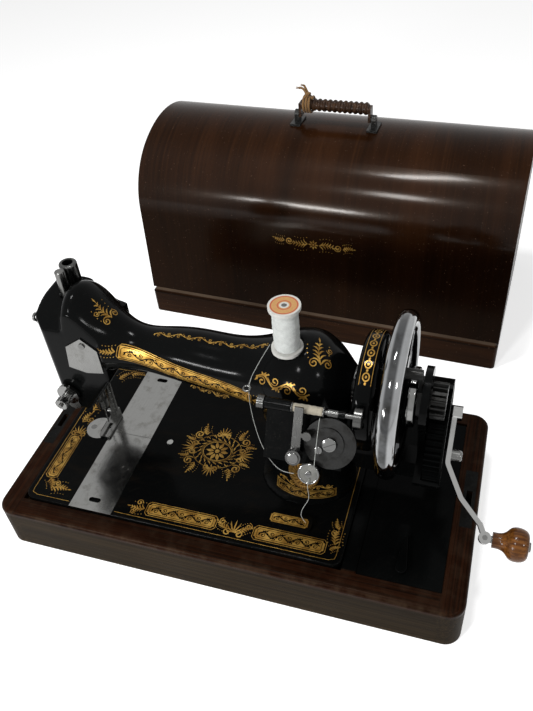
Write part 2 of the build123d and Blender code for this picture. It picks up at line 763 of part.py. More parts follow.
def make_accessory_lid():
    """Black sheet lid on two pins at the back, with a teardrop finger lift."""
    body = block(PANEL_LEFT + PANEL_GAP, PANEL_RIGHT - PANEL_GAP, PANEL_FRONT + PANEL_GAP,
                 PANEL_REAR - PANEL_REAR_GAP, PANEL_SEAT, PANEL_TOP)
    pull_y = PANEL_FRONT + PULL_INSET
    tail = Pos(PANEL_MIDDLE, pull_y + PULL_LENGTH, PANEL_TOP) * Circle(PULL_RADIUS / 4)
    bowl = Pos(PANEL_MIDDLE, pull_y, PANEL_TOP) * Circle(PULL_RADIUS)
    drop = extrude(make_hull(bowl.edges() + tail.edges()), amount=PULL_RISE)
    drop = fillet(drop.faces().sort_by(Axis.Z)[-1].edges(), PULL_RADIUS / 6)
    hinge_left = PANEL_LEFT + PANEL_LEDGE + PANEL_GAP
    hinge_right = PANEL_RIGHT - PANEL_LEDGE - PANEL_GAP
    for inner, outward in ((hinge_left, -1), (hinge_right, 1)):
        pin = rod((inner - outward * PANEL_PIN_REACH, PANEL_PIN_Y, PANEL_PIN_Z), (outward, 0, 0),
                  PANEL_LEDGE + 2 * PANEL_PIN_REACH, PANEL_PIN_R)
        ear = block(min(inner, inner - outward * PANEL_PIN_REACH),
                    max(inner, inner - outward * PANEL_PIN_REACH),
                    PANEL_PIN_Y - 3 * PANEL_PIN_R, PANEL_PIN_Y, PANEL_PIN_Z, PANEL_SEAT)
        body += pin + ear
    return body + drop


# Bed hinges
def hinge_pocket(x):
    """Room in the rear rail for one hinge."""
    length = HINGE_LUG_LENGTH + 2 * HINGE_KNUCKLE_LENGTH + 4 * PASS_GAP
    left = x - HINGE_KNUCKLE_LENGTH - 2 * PASS_GAP
    return block(left, left + length, BED_REAR, HINGE_Y + HINGE_POCKET_R,
                 HINGE_Z - HINGE_POCKET_R, BASE_HEIGHT)


def make_hinge_brackets():
    """A leaf with two knuckles and a pin at each hinge, let into the rear rail."""
    brackets = []
    for x in hinge_places():
        left = x - HINGE_KNUCKLE_LENGTH - PASS_GAP
        right = x + HINGE_LUG_LENGTH + PASS_GAP
        floor = HINGE_Z - HINGE_POCKET_R
        leaf = block(left, right + HINGE_KNUCKLE_LENGTH, BED_REAR + PASS_GAP, HINGE_Y + HINGE_LUG_R,
                     floor, floor + HINGE_LEAF_THICK)
        for start in (left, right):
            leaf += rod((start, HINGE_Y, HINGE_Z), (1, 0, 0), HINGE_KNUCKLE_LENGTH, HINGE_LUG_R)
            leaf += block(start, start + HINGE_KNUCKLE_LENGTH, HINGE_Y - HINGE_PIN_R,
                          HINGE_Y + HINGE_PIN_R, floor, HINGE_Z)
        leaf += rod((left, HINGE_Y, HINGE_Z), (1, 0, 0), right - left, HINGE_PIN_R)
        brackets.append(leaf)
    return brackets[0] + brackets[1]


# Machine bed
def make_bed():
    """Cast bed: hollow below, with the plate channel, the shuttle race and hinge lugs."""
    body = rounded_block(BED_LEFT, BED_RIGHT, BED_FRONT, BED_REAR, BED_SEAT, BED_TOP, BED_CORNER_R)
    body = fillet(body.faces().sort_by(Axis.Z)[-1].edges(), BED_EDGE_R)
    body -= block(BED_LEFT + BED_RIM, BED_RIGHT - BED_RIM, BED_FRONT + BED_RIM, BED_REAR - BED_RIM,
                  BED_SEAT, BED_TOP - BED_SKIN)
    for x in hinge_places():
        lug = rod((x, HINGE_Y, HINGE_Z), (1, 0, 0), HINGE_LUG_LENGTH, HINGE_LUG_R)
        lug += block(x, x + HINGE_LUG_LENGTH, BED_REAR - BED_RIM, HINGE_Y, HINGE_Z - HINGE_PIN_R,
                     HINGE_Z + HINGE_PIN_R)
        body += lug
        body -= rod((x, HINGE_Y, HINGE_Z), (1, 0, 0), HINGE_LUG_LENGTH, HINGE_PIN_R + RUN_GAP)
    body += rod((PILLAR_X, ARM_Y, BED_SEAT), (0, 0, 1), BED_THICK - BED_EDGE_R, 2 * ROCK_SHAFT_R)
    body -= rod((PILLAR_X, ARM_Y, 0), (0, 0, 1), BED_TOP, ROCK_SHAFT_R + RUN_GAP)
    for side in (-1, 1):
        body += feed_guide(side)
    body -= block(PLATE_LEFT - SLIDE_GAP, PLATE_LEFT + PLATE_WIDTH + SLIDE_GAP, BED_FRONT, BED_REAR,
                  BED_TOP - PLATE_THICK, BED_TOP)
    body -= block(PLATE_LEFT + PLATE_LEDGE, PLATE_LEFT + PLATE_WIDTH - PLATE_LEDGE,
                  BED_FRONT + RACE_END_MARGIN, BED_REAR - RACE_END_MARGIN, 0, BED_TOP)
    body -= rod((NEEDLE_PLATE_X, NEEDLE_PLATE_Y, BED_TOP - PLATE_THICK), (0, 0, 1), PLATE_THICK,
                NEEDLE_PLATE_R + SLIDE_GAP)
    body -= rod((NEEDLE_X, NEEDLE_Y, 0), (0, 0, 1), BED_TOP, 2 * NEEDLE_HOLE_R)
    body -= feed_slot()
    body -= rod(needle_screw_place(), (0, 0, -1), PLATE_THICK + COVER_SHANK_LENGTH + PASS_GAP,
                COVER_SHANK_R + RUN_GAP)
    pad_x = BED_RIGHT - PAD_FROM_RIGHT
    pad_y = BED_FRONT + PAD_FROM_FRONT
    body += rounded_block(pad_x - PAD_LENGTH / 2, pad_x + PAD_LENGTH / 2, pad_y - PAD_WIDTH / 2,
                          pad_y + PAD_WIDTH / 2, BED_TOP - BED_EDGE_R, BED_TOP + PAD_RISE, PAD_CORNER_R)
    body += rod((BED_LEFT + PLUG_FROM_LEFT, ARM_Y + PLATE_SPLIT, BED_TOP - BED_EDGE_R), (0, 0, 1),
                BED_EDGE_R + PLUG_RISE, PLUG_R)
    return body


def feed_guide(side):
    """A block under the bed that the feed bar slides through."""
    x = NEEDLE_X - FEED_LEFT_OF_NEEDLE
    y = NEEDLE_Y + side * FEED_GUIDE_SPREAD / 2
    half = FEED_BAR_WIDTH / 2
    top = BED_TOP - FEED_BAR_DEPTH
    body = block(x - half - FEED_GUIDE_WALL, x + half + FEED_GUIDE_WALL, y - FEED_GUIDE_LENGTH / 2,
                 y + FEED_GUIDE_LENGTH / 2, top - FEED_BAR_THICK - FEED_GUIDE_WALL, BED_TOP - BED_EDGE_R)
    return body - block(x - half - RUN_GAP, x + half + RUN_GAP, y - FEED_GUIDE_LENGTH,
                        y + FEED_GUIDE_LENGTH, top - FEED_BAR_THICK - RUN_GAP, top + RUN_GAP)


def feed_slot():
    """The slot that the feed dog rises through."""
    x = NEEDLE_X - FEED_LEFT_OF_NEEDLE
    half = FEED_DOG_WIDTH / 2 + FEED_SLOT_GAP
    reach = FEED_DOG_LENGTH / 2 + FEED_TRAVEL + FEED_SLOT_GAP
    return block(x - half, x + half, NEEDLE_Y - reach, NEEDLE_Y + reach, 0, BED_TOP)


def make_feed_bar():
    """Feed bar with the toothed dog on it."""
    x = NEEDLE_X - FEED_LEFT_OF_NEEDLE
    top = BED_TOP - FEED_BAR_DEPTH
    body = block(x - FEED_BAR_WIDTH / 2, x + FEED_BAR_WIDTH / 2, NEEDLE_Y - FEED_BAR_LENGTH / 2,
                 NEEDLE_Y + FEED_BAR_LENGTH / 2, top - FEED_BAR_THICK, top)
    dog = block(x - FEED_DOG_WIDTH / 2, x + FEED_DOG_WIDTH / 2, NEEDLE_Y - FEED_DOG_LENGTH / 2,
                NEEDLE_Y + FEED_DOG_LENGTH / 2, top, BED_TOP)
    return body + dog


def needle_screw_place():
    """Top of the needle plate's screw hole."""
    return (NEEDLE_PLATE_X - NEEDLE_PLATE_R / 2, NEEDLE_PLATE_Y, BED_TOP)


def make_needle_plate():
    """Round needle plate with needle hole, feed slot and screw hole."""
    body = rod(
        (NEEDLE_PLATE_X, NEEDLE_PLATE_Y, BED_TOP - PLATE_THICK), (0, 0, 1), PLATE_THICK, NEEDLE_PLATE_R,
    )
    body -= rod((NEEDLE_X, NEEDLE_Y, 0), (0, 0, 1), BED_TOP, NEEDLE_HOLE_R)
    body -= feed_slot()
    body -= rod(needle_screw_place(), (0, 0, -1), PLATE_THICK, COVER_SHANK_R + RUN_GAP)
    return body - rod(needle_screw_place(), (0, 0, -1), COVER_SCREW_HEAD, COVER_SCREW_R + RUN_GAP)


def make_slide_plate(front):
    """One of the two plates over the shuttle race, with an oval finger hole."""
    inner = PLATE_Y - PLATE_JOINT / 2 if front else PLATE_Y + PLATE_JOINT / 2
    outer = BED_FRONT if front else BED_REAR
    inward = 1 if front else -1
    body = block(PLATE_LEFT, PLATE_LEFT + PLATE_WIDTH, min(inner, outer), max(inner, outer),
                 BED_TOP - PLATE_THICK, BED_TOP)
    hole = Pos(PLATE_MIDDLE, outer + inward * FINGER_HOLE_INSET, BED_TOP)
    outline = hole * SlotOverall(FINGER_HOLE_LENGTH, FINGER_HOLE_WIDTH)
    return body - extrude(outline, amount=-PLATE_THICK)


# Arm, pillar and head
def arm_section(x, lift, radius):
    """A round section of the arm."""
    plane = Plane(origin=(x, ARM_Y, SHAFT_Z + lift), x_dir=(0, 1, 0), z_dir=(1, 0, 0))
    return plane * Circle(radius)


def arm_root():
    """The arm's first section, kept inside the head's front and back."""
    place = (HEAD_RIGHT - ARM_ROOT_INSET, ARM_Y, SHAFT_Z + ARM_ROOT_LIFT)
    return Plane(origin=place, x_dir=(0, 1, 0), z_dir=(1, 0, 0)) * Ellipse(ARM_ROOT_HALF_DEPTH, ARM_ROOT_R)


def arm_loft():
    """The arm from inside the head to the shaft's outer bearing."""
    return loft([
        arm_root(),
        arm_section(HEAD_RIGHT + ARM_NECK_OUT, ARM_NECK_LIFT, ARM_NECK_R),
        arm_section(HEAD_RIGHT + ARM_WAIST_OUT, ARM_WAIST_LIFT, ARM_WAIST_R),
        arm_section(PILLAR_X - ARM_MIDDLE_BACK, ARM_MIDDLE_LIFT, ARM_MIDDLE_R),
        arm_section(PILLAR_X - ARM_SHOULDER_BACK, ARM_SHOULDER_LIFT, ARM_SHOULDER_R),
        arm_section(PILLAR_X, DOME_LIFT, DOME_R),
        arm_section(PILLAR_X + DOME_END_OUT, 0, DOME_END_R),
        arm_section(BEARING_X, 0, BEARING_R),
    ])


def pillar_section(height, shift, half_length, half_depth):
    """An oval section of the pillar."""
    return Pos(PILLAR_X - shift, ARM_Y, BED_TOP + height) * Ellipse(half_length, half_depth)


def pillar_loft(grow):
    """The pillar from the bed to the shaft, grown all round by a thickness."""
    return loft([
        pillar_section(0, FOOT_SHIFT, FOOT_HALF_LENGTH + grow, FOOT_HALF_DEPTH + grow),
        pillar_section(ANKLE_HEIGHT, 0, ANKLE_HALF_LENGTH + grow, ANKLE_HALF_DEPTH + grow),
        pillar_section(WAIST_HEIGHT, 0, WAIST_HALF_LENGTH + grow, WAIST_HALF_DEPTH + grow),
        pillar_section(SHAFT_HEIGHT, 0, CROWN_HALF_LENGTH + grow, CROWN_HALF_DEPTH + grow),
    ])


def head_side_points():
    """The head seen from its end, as Y and Z."""
    return [
        (HEAD_FRONT, NOSE_Z),
        (HEAD_FRONT, BED_TOP + HEAD_FRONT_HEIGHT - HEAD_BEVEL),
        (HEAD_FRONT + HEAD_BEVEL, BED_TOP + HEAD_FRONT_HEIGHT),
        (HEAD_REAR - HEAD_BEVEL, BED_TOP + HEAD_REAR_HEIGHT),
        (HEAD_REAR, BED_TOP + HEAD_REAR_HEIGHT - HEAD_BEVEL),
        (HEAD_REAR, NOSE_Z),
    ]


def head_block():
    """The head as three crossed prisms: from the front, from the end and from above."""
    top = BED_TOP + HEAD_REAR_HEIGHT
    front_points = [
        (HEAD_LEFT, NOSE_Z),
        (NEEDLE_X + NOSE_RIGHT_OF_NEEDLE, NOSE_Z),
        (HEAD_RIGHT, BED_TOP + CHEEK_HEIGHT),
        (HEAD_RIGHT, top),
        (HEAD_LEFT + HEAD_SHOULDER, top),
        (HEAD_LEFT, top - HEAD_SHOULDER),
    ]
    plan_points = [
        (HEAD_LEFT, HEAD_FRONT + HEAD_BEVEL),
        (HEAD_LEFT + HEAD_BEVEL, HEAD_FRONT),
        (HEAD_RIGHT, HEAD_FRONT),
        (HEAD_RIGHT, HEAD_REAR),
        (HEAD_LEFT + HEAD_BEVEL, HEAD_REAR),
        (HEAD_LEFT, HEAD_REAR - HEAD_BEVEL),
    ]
    body = prism(front_points, lengthwise(HEAD_REAR), HEAD_REAR - HEAD_FRONT)
    body &= prism(head_side_points(), across(HEAD_LEFT), HEAD_RIGHT - HEAD_LEFT)
    body &= prism(plan_points, Plane.XY, top)
    return body - neck_sweep()


def neck_sweep():
    """Round hollow in which the head's top runs down to the arm."""
    middle = Pos(HEAD_RIGHT - NECK_SWEEP_INSET, NEEDLE_Y, BED_TOP + HEAD_REAR_HEIGHT + NECK_SWEEP_LIFT)
    hollow = Rot(90, 0, 0) * Cylinder(NECK_SWEEP_R, 2 * (HEAD_FRONT_REACH + HEAD_REAR_REACH))
    return middle * Rot(0, 0, -NECK_SWEEP_SKEW) * hollow


def winder_lug_places():
    """Left ends of the two lugs that carry the bobbin winder."""
    left = PILLAR_X - WINDER_LUG_SPREAD / 2
    return [left, left + WINDER_LUG_SPREAD]


def make_arm_casting():
    """Arm, pillar and head in one casting, bored for shaft and bars."""
    proud = block(
        HEAD_LEFT, HEAD_RIGHT, HEAD_FRONT - ARM_ROOT_R, HEAD_FRONT, BED_TOP, SHAFT_Z + 2 * ARM_ROOT_R,
    )
    body = (arm_loft() - proud) + pillar_loft(0) + head_block()
    for x in winder_lug_places():
        body += winder_lug(x)
    body -= rod((CAVITY_END, ARM_Y, SHAFT_Z), (1, 0, 0), BEARING_X - CAVITY_END, BUSH_R + RUN_GAP)
    body -= rod((PILLAR_X, ARM_Y, BED_TOP), (0, 0, 1), SHAFT_HEIGHT, PILLAR_BORE_R)
    body -= block(HEAD_LEFT, CAVITY_END, CAVITY_FRONT, CAVITY_REAR, CAVITY_FLOOR, CAVITY_ROOF)
    head_height = HEAD_REAR_HEIGHT - NOSE_HEIGHT
    for y in (NEEDLE_Y, PRESSER_Y):
        body -= rod((NEEDLE_X, y, NOSE_Z), (0, 0, 1), head_height, BAR_R + RUN_GAP)
    seat = BED_TOP + SCREW_SEAT_HEIGHT
    body -= rod((NEEDLE_X, PRESSER_Y, seat), (0, 0, 1), head_height, SCREW_RING_R + PASS_GAP)
    body -= rod((NEEDLE_X, PRESSER_Y, seat), (0, 0, -1), SCREW_NECK_LENGTH + PASS_GAP, SCREW_NECK_R + RUN_GAP)
    spool_seat = rod((SPOOL_X, SPOOL_Y, SPOOL_Z), (0, 0, 1), SPOOL_HEIGHT, SPOOL_FLANGE_R + PASS_GAP)
    body -= spool_seat
    pin_foot = spool_pin_foot()
    body -= rod((SPOOL_X, SPOOL_Y, pin_foot), (0, 0, 1), SPOOL_Z - pin_foot, SPOOL_PIN_R)
    body -= rod((TENSION_X, HEAD_FRONT, TENSION_Z), (0, 1, 0), TENSION_FLANGE_R, TENSION_POST_R)
    body -= rod(inspection_screw_place(), (0, 1, 0), COVER_SHANK_LENGTH + PASS_GAP, COVER_SHANK_R + RUN_GAP)
    lifter = lifter_place()
    body -= rod(lifter, (0, -1, 0), 2 * LIFTER_PIN_R, LIFTER_PIN_R + RUN_GAP)
    guide = guide_place()
    body -= rod((guide[0], guide[1] - GUIDE_STEM, guide[2]), (0, 1, 0), 2 * GUIDE_STEM, GUIDE_WIRE_R)
    return body


def make_badge():
    """Oval badge that follows the pillar's front."""
    oval = Plane(origin=(PILLAR_X, ARM_Y, BED_TOP + BADGE_HEIGHT), x_dir=(1, 0, 0), z_dir=(0, -1, 0))
    post = extrude(oval * Ellipse(BADGE_HALF_WIDTH, BADGE_HALF_HEIGHT), amount=2 * FOOT_HALF_DEPTH)
    return (pillar_loft(BADGE_SEAT + BADGE_THICK) & post) - pillar_loft(BADGE_SEAT)


def make_face_plate():
    """Plate that closes the head's outer end."""
    front = HEAD_FRONT + HEAD_BEVEL + FACE_PLATE_MARGIN
    rear = HEAD_REAR - HEAD_BEVEL - FACE_PLATE_MARGIN
    low = NOSE_Z + FACE_PLATE_MARGIN
    high = BED_TOP + HEAD_FRONT_HEIGHT - HEAD_SHOULDER
    body = prism([(front, low), (rear, low), (rear, high), (front, high)], across(FACE_X), FACE_PLATE_THICK)
    body -= rod((FACE_X, *take_up_pivot()), (1, 0, 0), FACE_PLATE_THICK, TAKE_UP_PIN_R + RUN_GAP)
    for place in face_screw_places():
        body -= rod(place, (1, 0, 0), FACE_PLATE_THICK, COVER_SHANK_R + RUN_GAP)
    return body


def face_screw_places():
    """Top and bottom screw of the face plate, on its outer face."""
    low = NOSE_Z + 3 * FACE_PLATE_MARGIN
    high = BED_TOP + HEAD_FRONT_HEIGHT - 2 * HEAD_SHOULDER + FACE_PLATE_MARGIN
    behind = HEAD_REAR - HEAD_BEVEL - FACE_PLATE_MARGIN - COVER_SCREW_R - PASS_GAP
    return [(FACE_X, ARM_Y + BAR_R, low), (FACE_X, behind, high)]


def inspection_points():
    """The inspection plate's outline on the head's front, as X and Z."""
    middle = NEEDLE_X + INSPECTION_RIGHT_OF_NEEDLE
    low = BED_TOP + INSPECTION_BASE_HEIGHT
    half = INSPECTION_WIDTH / 2
    return [
        (middle - half, low + INSPECTION_WIDTH / 8),
        (middle, low),
        (middle + half, low + INSPECTION_WIDTH / 12),
        (middle + half, low + INSPECTION_SHOULDER),
        (middle + half / 5, low + INSPECTION_HEIGHT),
        (middle - half + INSPECTION_WIDTH / 10, low + INSPECTION_SHOULDER),
    ]


def inspection_screw_place():
    """Where the inspection plate's screw enters the head."""
    height = INSPECTION_BASE_HEIGHT + INSPECTION_HEIGHT - INSPECTION_SCREW_DROP
    return (NEEDLE_X + INSPECTION_RIGHT_OF_NEEDLE + INSPECTION_WIDTH / 10, HEAD_FRONT, BED_TOP + height)


def make_inspection_plate():
    """Polished six-sided cover on the head's front."""
    body = prism(inspection_points(), lengthwise(HEAD_FRONT), INSPECTION_THICK)
    return body - rod(inspection_screw_place(), (0, -1, 0), INSPECTION_THICK, COVER_SHANK_R + RUN_GAP)


def make_cover_screws():
    """The small screws of needle plate, inspection plate and face plate."""
    x, y, z = inspection_screw_place()
    places = [((x, y - INSPECTION_THICK, z), (0, -1, 0), INSPECTION_THICK)]
    nx, ny, nz = needle_screw_place()
    places.append(((nx, ny, nz - COVER_SCREW_HEAD), (0, 0, 1), PLATE_THICK - COVER_SCREW_HEAD))
    for place in face_screw_places():
        places.append((place, (-1, 0, 0), FACE_PLATE_THICK - COVER_SHANK_LENGTH))
    screws = []
    for place, out, plate in places:
        head = rod(place, out, COVER_SCREW_HEAD, COVER_SCREW_R)
        inward = (-out[0], -out[1], -out[2])
        screws.append(head + rod(place, inward, plate + COVER_SHANK_LENGTH, COVER_SHANK_R))
    return screws[0] + screws[1] + screws[2] + screws[3]


def make_bushes():
    """Two bronze bushes for the main shaft."""
    left = ring((CAVITY_END, ARM_Y, SHAFT_Z), (1, 0, 0), BUSH_LENGTH, BUSH_R, SHAFT_R + RUN_GAP)
    right = ring((BEARING_X, ARM_Y, SHAFT_Z), (-1, 0, 0), BUSH_LENGTH, BUSH_R, SHAFT_R + RUN_GAP)
    return left + right


# Needle bar, presser bar, take-up and tension
def make_needle_bar():
    """The needle bar."""
    low = BED_TOP + NEEDLE_BAR_BOTTOM
    body = rod((NEEDLE_X, NEEDLE_Y, low), (0, 0, 1), NEEDLE_BAR_TOP - NEEDLE_BAR_BOTTOM, BAR_R)
    return chamfer(body.faces().sort_by(Axis.Z)[-1].edges(), BAR_R / 5)


def make_needle_clamp():
    """Collar and thumb screw that grip the needle."""
    low = BED_TOP + NEEDLE_BAR_BOTTOM
    body = ring((NEEDLE_X, NEEDLE_Y, low), (0, 0, 1), CLAMP_LENGTH, CLAMP_R, BAR_R)
    screw = rod((NEEDLE_X - CLAMP_R + 1, NEEDLE_Y, low + CLAMP_LENGTH / 2), (-1, 0, 0), CLAMP_R, CLAMP_R / 3)
    return body + screw


def make_needle():
    """The needle below the bar."""
    low = BED_TOP + NEEDLE_BAR_BOTTOM
    body = rod((NEEDLE_X, NEEDLE_Y, low), (0, 0, -1), NEEDLE_LENGTH - 3 * NEEDLE_R, NEEDLE_R)
    tip = Plane(origin=(NEEDLE_X, NEEDLE_Y, low - NEEDLE_LENGTH + 3 * NEEDLE_R), z_dir=(0, 0, -1))
    point = tip * Cone(NEEDLE_R, NEEDLE_R / 5, 3 * NEEDLE_R, align=(Align.CENTER, Align.CENTER, Align.MIN))
    return body + point


def make_presser_bar():
    """The presser bar behind the needle bar."""
    low = BED_TOP + PRESSER_BAR_BOTTOM
    return rod((NEEDLE_X, PRESSER_Y, low), (0, 0, 1), PRESSER_BAR_TOP - PRESSER_BAR_BOTTOM, BAR_R)


def make_presser_foot():
    """Presser foot: sole with a slot for the needle, and a shank up to the bar."""
    sole = BED_TOP + FOOT_LIFT
    rear = PRESSER_Y + BAR_R
    front = rear - FOOT_LENGTH
    half = FOOT_WIDTH / 2
    body = rounded_block(
        NEEDLE_X - half, NEEDLE_X + half, front, rear, sole, sole + FOOT_THICK, FOOT_WIDTH / 4,
    )
    body -= block(
        NEEDLE_X - FOOT_SLOT / 2, NEEDLE_X + FOOT_SLOT / 2, front, NEEDLE_Y + FOOT_SLOT, sole,
        BED_TOP + FOOT_SHANK,
    )
    shank = block(
        NEEDLE_X - BAR_R, NEEDLE_X + BAR_R, PRESSER_Y - BAR_R, rear, sole, BED_TOP + PRESSER_BAR_BOTTOM,
    )
    screw = rod((NEEDLE_X - BAR_R, PRESSER_Y, BED_TOP + FOOT_SHANK), (-1, 0, 0), BAR_R, BAR_R / 2)
    return body + shank + screw


def make_pressure_screw():
    """Hollow fluted screw over the presser bar."""
    seat = BED_TOP + SCREW_SEAT_HEIGHT
    axis = (0, 0, 1)
    body = rod((NEEDLE_X, PRESSER_Y, seat), axis, SCREW_RING_HEIGHT, SCREW_RING_R)
    body = fillet(body.faces().sort_by(Axis.Z)[-1].edges(), SCREW_RING_R / 5)
    for step in range(FLUTE_COUNT):
        angle = 2 * math.pi * step / FLUTE_COUNT
        x = NEEDLE_X + SCREW_RING_R * math.cos(angle)
        y = PRESSER_Y + SCREW_RING_R * math.sin(angle)
        body -= rod((x, y, seat), axis, 2 * SCREW_RING_HEIGHT / 3, FLUTE_R)
    body += rod((NEEDLE_X, PRESSER_Y, seat), (0, 0, -1), SCREW_NECK_LENGTH, SCREW_NECK_R)
    start = (NEEDLE_X, PRESSER_Y, seat - SCREW_NECK_LENGTH)
    return body - rod(start, axis, SCREW_NECK_LENGTH + SCREW_RING_HEIGHT, SCREW_BORE_R)


def lifter_place():
    """Pivot of the presser lifter on the head's back."""
    return (NEEDLE_X + LIFTER_RIGHT, HEAD_REAR, BED_TOP + LIFTER_HEIGHT)


def make_lifter():
    """Lever at the back of the head that raises the presser bar."""
    x, y, z = lifter_place()
    inner = y + PASS_GAP
    body = rod((x, inner, z), (0, 1, 0), LIFTER_THICK, LIFTER_WIDTH / 2 + 1)
    body += block(
        x, x + LIFTER_LENGTH, inner, inner + LIFTER_THICK, z - LIFTER_WIDTH / 2, z + LIFTER_WIDTH / 2,
    )
    body = fillet(body.edges().filter_by(Axis.Y), LIFTER_WIDTH / 4)
    return body + rod((x, inner, z), (0, -1, 0), 2 * LIFTER_PIN_R, LIFTER_PIN_R)


def take_up_pivot():
    """Pivot of the take-up lever on the face plate, as Y and Z."""
    return (ARM_Y + TAKE_UP_PIVOT_BACK, BED_TOP + TAKE_UP_PIVOT_HEIGHT)


def make_take_up():
    """Take-up lever that swings over the face plate, with a thread eye at its end."""
    y, z = take_up_pivot()
    outer = FACE_X - PASS_GAP - TAKE_UP_THICK
    plane = Plane(origin=(outer, y, z), x_dir=(0, 1, 0), z_dir=(1, 0, 0)) * Rot(0, 0, TAKE_UP_LEAN)
    bar = plane * extrude(
        Pos(0, TAKE_UP_LENGTH / 2) * SlotOverall(
            TAKE_UP_LENGTH + TAKE_UP_WIDTH, TAKE_UP_WIDTH, rotation=90,
        ),
        amount=TAKE_UP_THICK,
    )
    eye = plane * extrude(Pos(0, TAKE_UP_LENGTH) * Circle(TAKE_UP_EYE_R), amount=TAKE_UP_THICK)
    hole = plane * extrude(Pos(0, TAKE_UP_LENGTH) * Circle(TAKE_UP_EYE_R / 2), amount=TAKE_UP_THICK)
    pin = rod((outer, y, z), (1, 0, 0), TAKE_UP_THICK + PASS_GAP + FACE_PLATE_THICK, TAKE_UP_PIN_R)
    return bar + eye - hole + pin


def tension_stations():
    """Distances in front of the head: discs, spring and nut."""
    discs = TENSION_FLANGE_THICK + TENSION_DISC_GAP
    spring = discs + 2 * TENSION_DISC_THICK + 2 * TENSION_DISC_GAP
    nut = spring + TENSION_SPRING_TURNS * TENSION_SPRING_PITCH + TENSION_SPRING_WIRE + TENSION_DISC_GAP
    return discs, spring, nut


def make_tension_post():
    """Stud with a flange, and a petal-shaped guide below it."""
    nut = tension_stations()[-1]
    start = (TENSION_X, HEAD_FRONT, TENSION_Z)
    body = rod(start, (0, -1, 0), TENSION_FLANGE_THICK, TENSION_FLANGE_R)
    body += rod((TENSION_X, HEAD_FRONT + TENSION_FLANGE_R, TENSION_Z), (0, -1, 0),
                TENSION_FLANGE_R + nut + TENSION_NUT_LENGTH + TENSION_POST_R, TENSION_POST_R)
    petal = lengthwise(HEAD_FRONT) * make_hull(
        (Pos(TENSION_X, TENSION_Z) * Circle(TENSION_FLANGE_R / 2)).edges()
        + (Pos(TENSION_X, TENSION_Z - TENSION_DISC_R - PETAL_LENGTH / 3) * Circle(PETAL_RADIUS)).edges())
    return body + extrude(petal, amount=PETAL_THICK)


def make_tension_discs():
    """The pair of dished discs."""
    discs = tension_stations()[0]
    plates = []
    for step in range(2):
        y = HEAD_FRONT - discs - step * (TENSION_DISC_THICK + TENSION_DISC_GAP)
        disc = ring(
            (TENSION_X, y, TENSION_Z), (0, -1, 0), TENSION_DISC_THICK, TENSION_DISC_R,
            TENSION_POST_R + RUN_GAP,
        )
        plates.append(disc)
    return plates[0] + plates[1]


def make_tension_spring():
    """The coil that presses the discs together."""
    spring = tension_stations()[1]
    place = Plane(
        origin=(TENSION_X, HEAD_FRONT - spring - TENSION_SPRING_WIRE / 2, TENSION_Z), z_dir=(0, -1, 0),
    )
    return place * coil(
        TENSION_SPRING_R, TENSION_SPRING_PITCH, TENSION_SPRING_TURNS, TENSION_SPRING_WIRE, "tension spring",
    )


def make_tension_nut():
    """Thumb nut of the tension."""
    nut = tension_stations()[-1]
    start = (TENSION_X, HEAD_FRONT - nut, TENSION_Z)
    body = ring(start, (0, -1, 0), TENSION_NUT_LENGTH, TENSION_NUT_R, TENSION_POST_R + RUN_GAP)
    for step in range(FLUTE_COUNT):
        angle = 2 * math.pi * step / FLUTE_COUNT
        place = (
            TENSION_X + TENSION_NUT_R * math.cos(angle), HEAD_FRONT - nut,
            TENSION_Z + TENSION_NUT_R * math.sin(angle),
        )
        body -= rod(place, (0, -1, 0), TENSION_NUT_LENGTH, FLUTE_R)
    return body


# Spool and thread guide
def spool_pin_foot():
    """Lower end of the spool's pin, always sunk in the arm."""
    crown = SHAFT_Z + DOME_LIFT + DOME_R
    return min(SPOOL_Z, crown) - SPOOL_FLANGE_R


def make_spool_pin():
    """Upright pin on the arm."""
    foot = spool_pin_foot()
    return rod((SPOOL_X, SPOOL_Y, foot), (0, 0, 1), SPOOL_Z + SPOOL_HEIGHT - foot, SPOOL_PIN_R)


def make_spool():
    """Turned spool with its filled core."""
    seat = SPOOL_Z + PASS_GAP / 2
    axis = (0, 0, 1)
    body = rod((SPOOL_X, SPOOL_Y, seat), axis, SPOOL_HEIGHT, SPOOL_CORE_R)
    body += rod((SPOOL_X, SPOOL_Y, seat), axis, SPOOL_FLANGE_THICK, SPOOL_FLANGE_R)
    top = seat + SPOOL_HEIGHT - SPOOL_FLANGE_THICK
    body += rod((SPOOL_X, SPOOL_Y, top), axis, SPOOL_FLANGE_THICK, SPOOL_FLANGE_R)
    core = SPOOL_FLANGE_R - SPOOL_THREAD - SPOOL_FILL_INSET
    body += rod((SPOOL_X, SPOOL_Y, seat), axis, SPOOL_HEIGHT, core - SPOOL_THREAD)
    return body - rod((SPOOL_X, SPOOL_Y, seat), axis, SPOOL_HEIGHT, SPOOL_PIN_R + RUN_GAP)


def make_spool_winding():
    """Outer layer of thread on the spool."""
    seat = SPOOL_Z + PASS_GAP / 2
    core = SPOOL_FLANGE_R - SPOOL_THREAD - SPOOL_FILL_INSET
    room = SPOOL_HEIGHT - 2 * SPOOL_FLANGE_THICK - 2 * SPOOL_THREAD
    pitch = room / SPOOL_TURNS
    radius = core - SPOOL_THREAD / 2 + SLIDE_GAP
    wound = coil(radius, pitch, SPOOL_TURNS, SPOOL_THREAD, "spool winding")
    return Pos(SPOOL_X, SPOOL_Y, seat + SPOOL_FLANGE_THICK + SPOOL_THREAD) * wound


def guide_place():
    """Where the wire thread guide stands on the arm's front."""
    return (PILLAR_X - GUIDE_FROM_PILLAR, ARM_Y - GUIDE_FORWARD + GUIDE_STEM / 2, SHAFT_Z + GUIDE_LIFT)


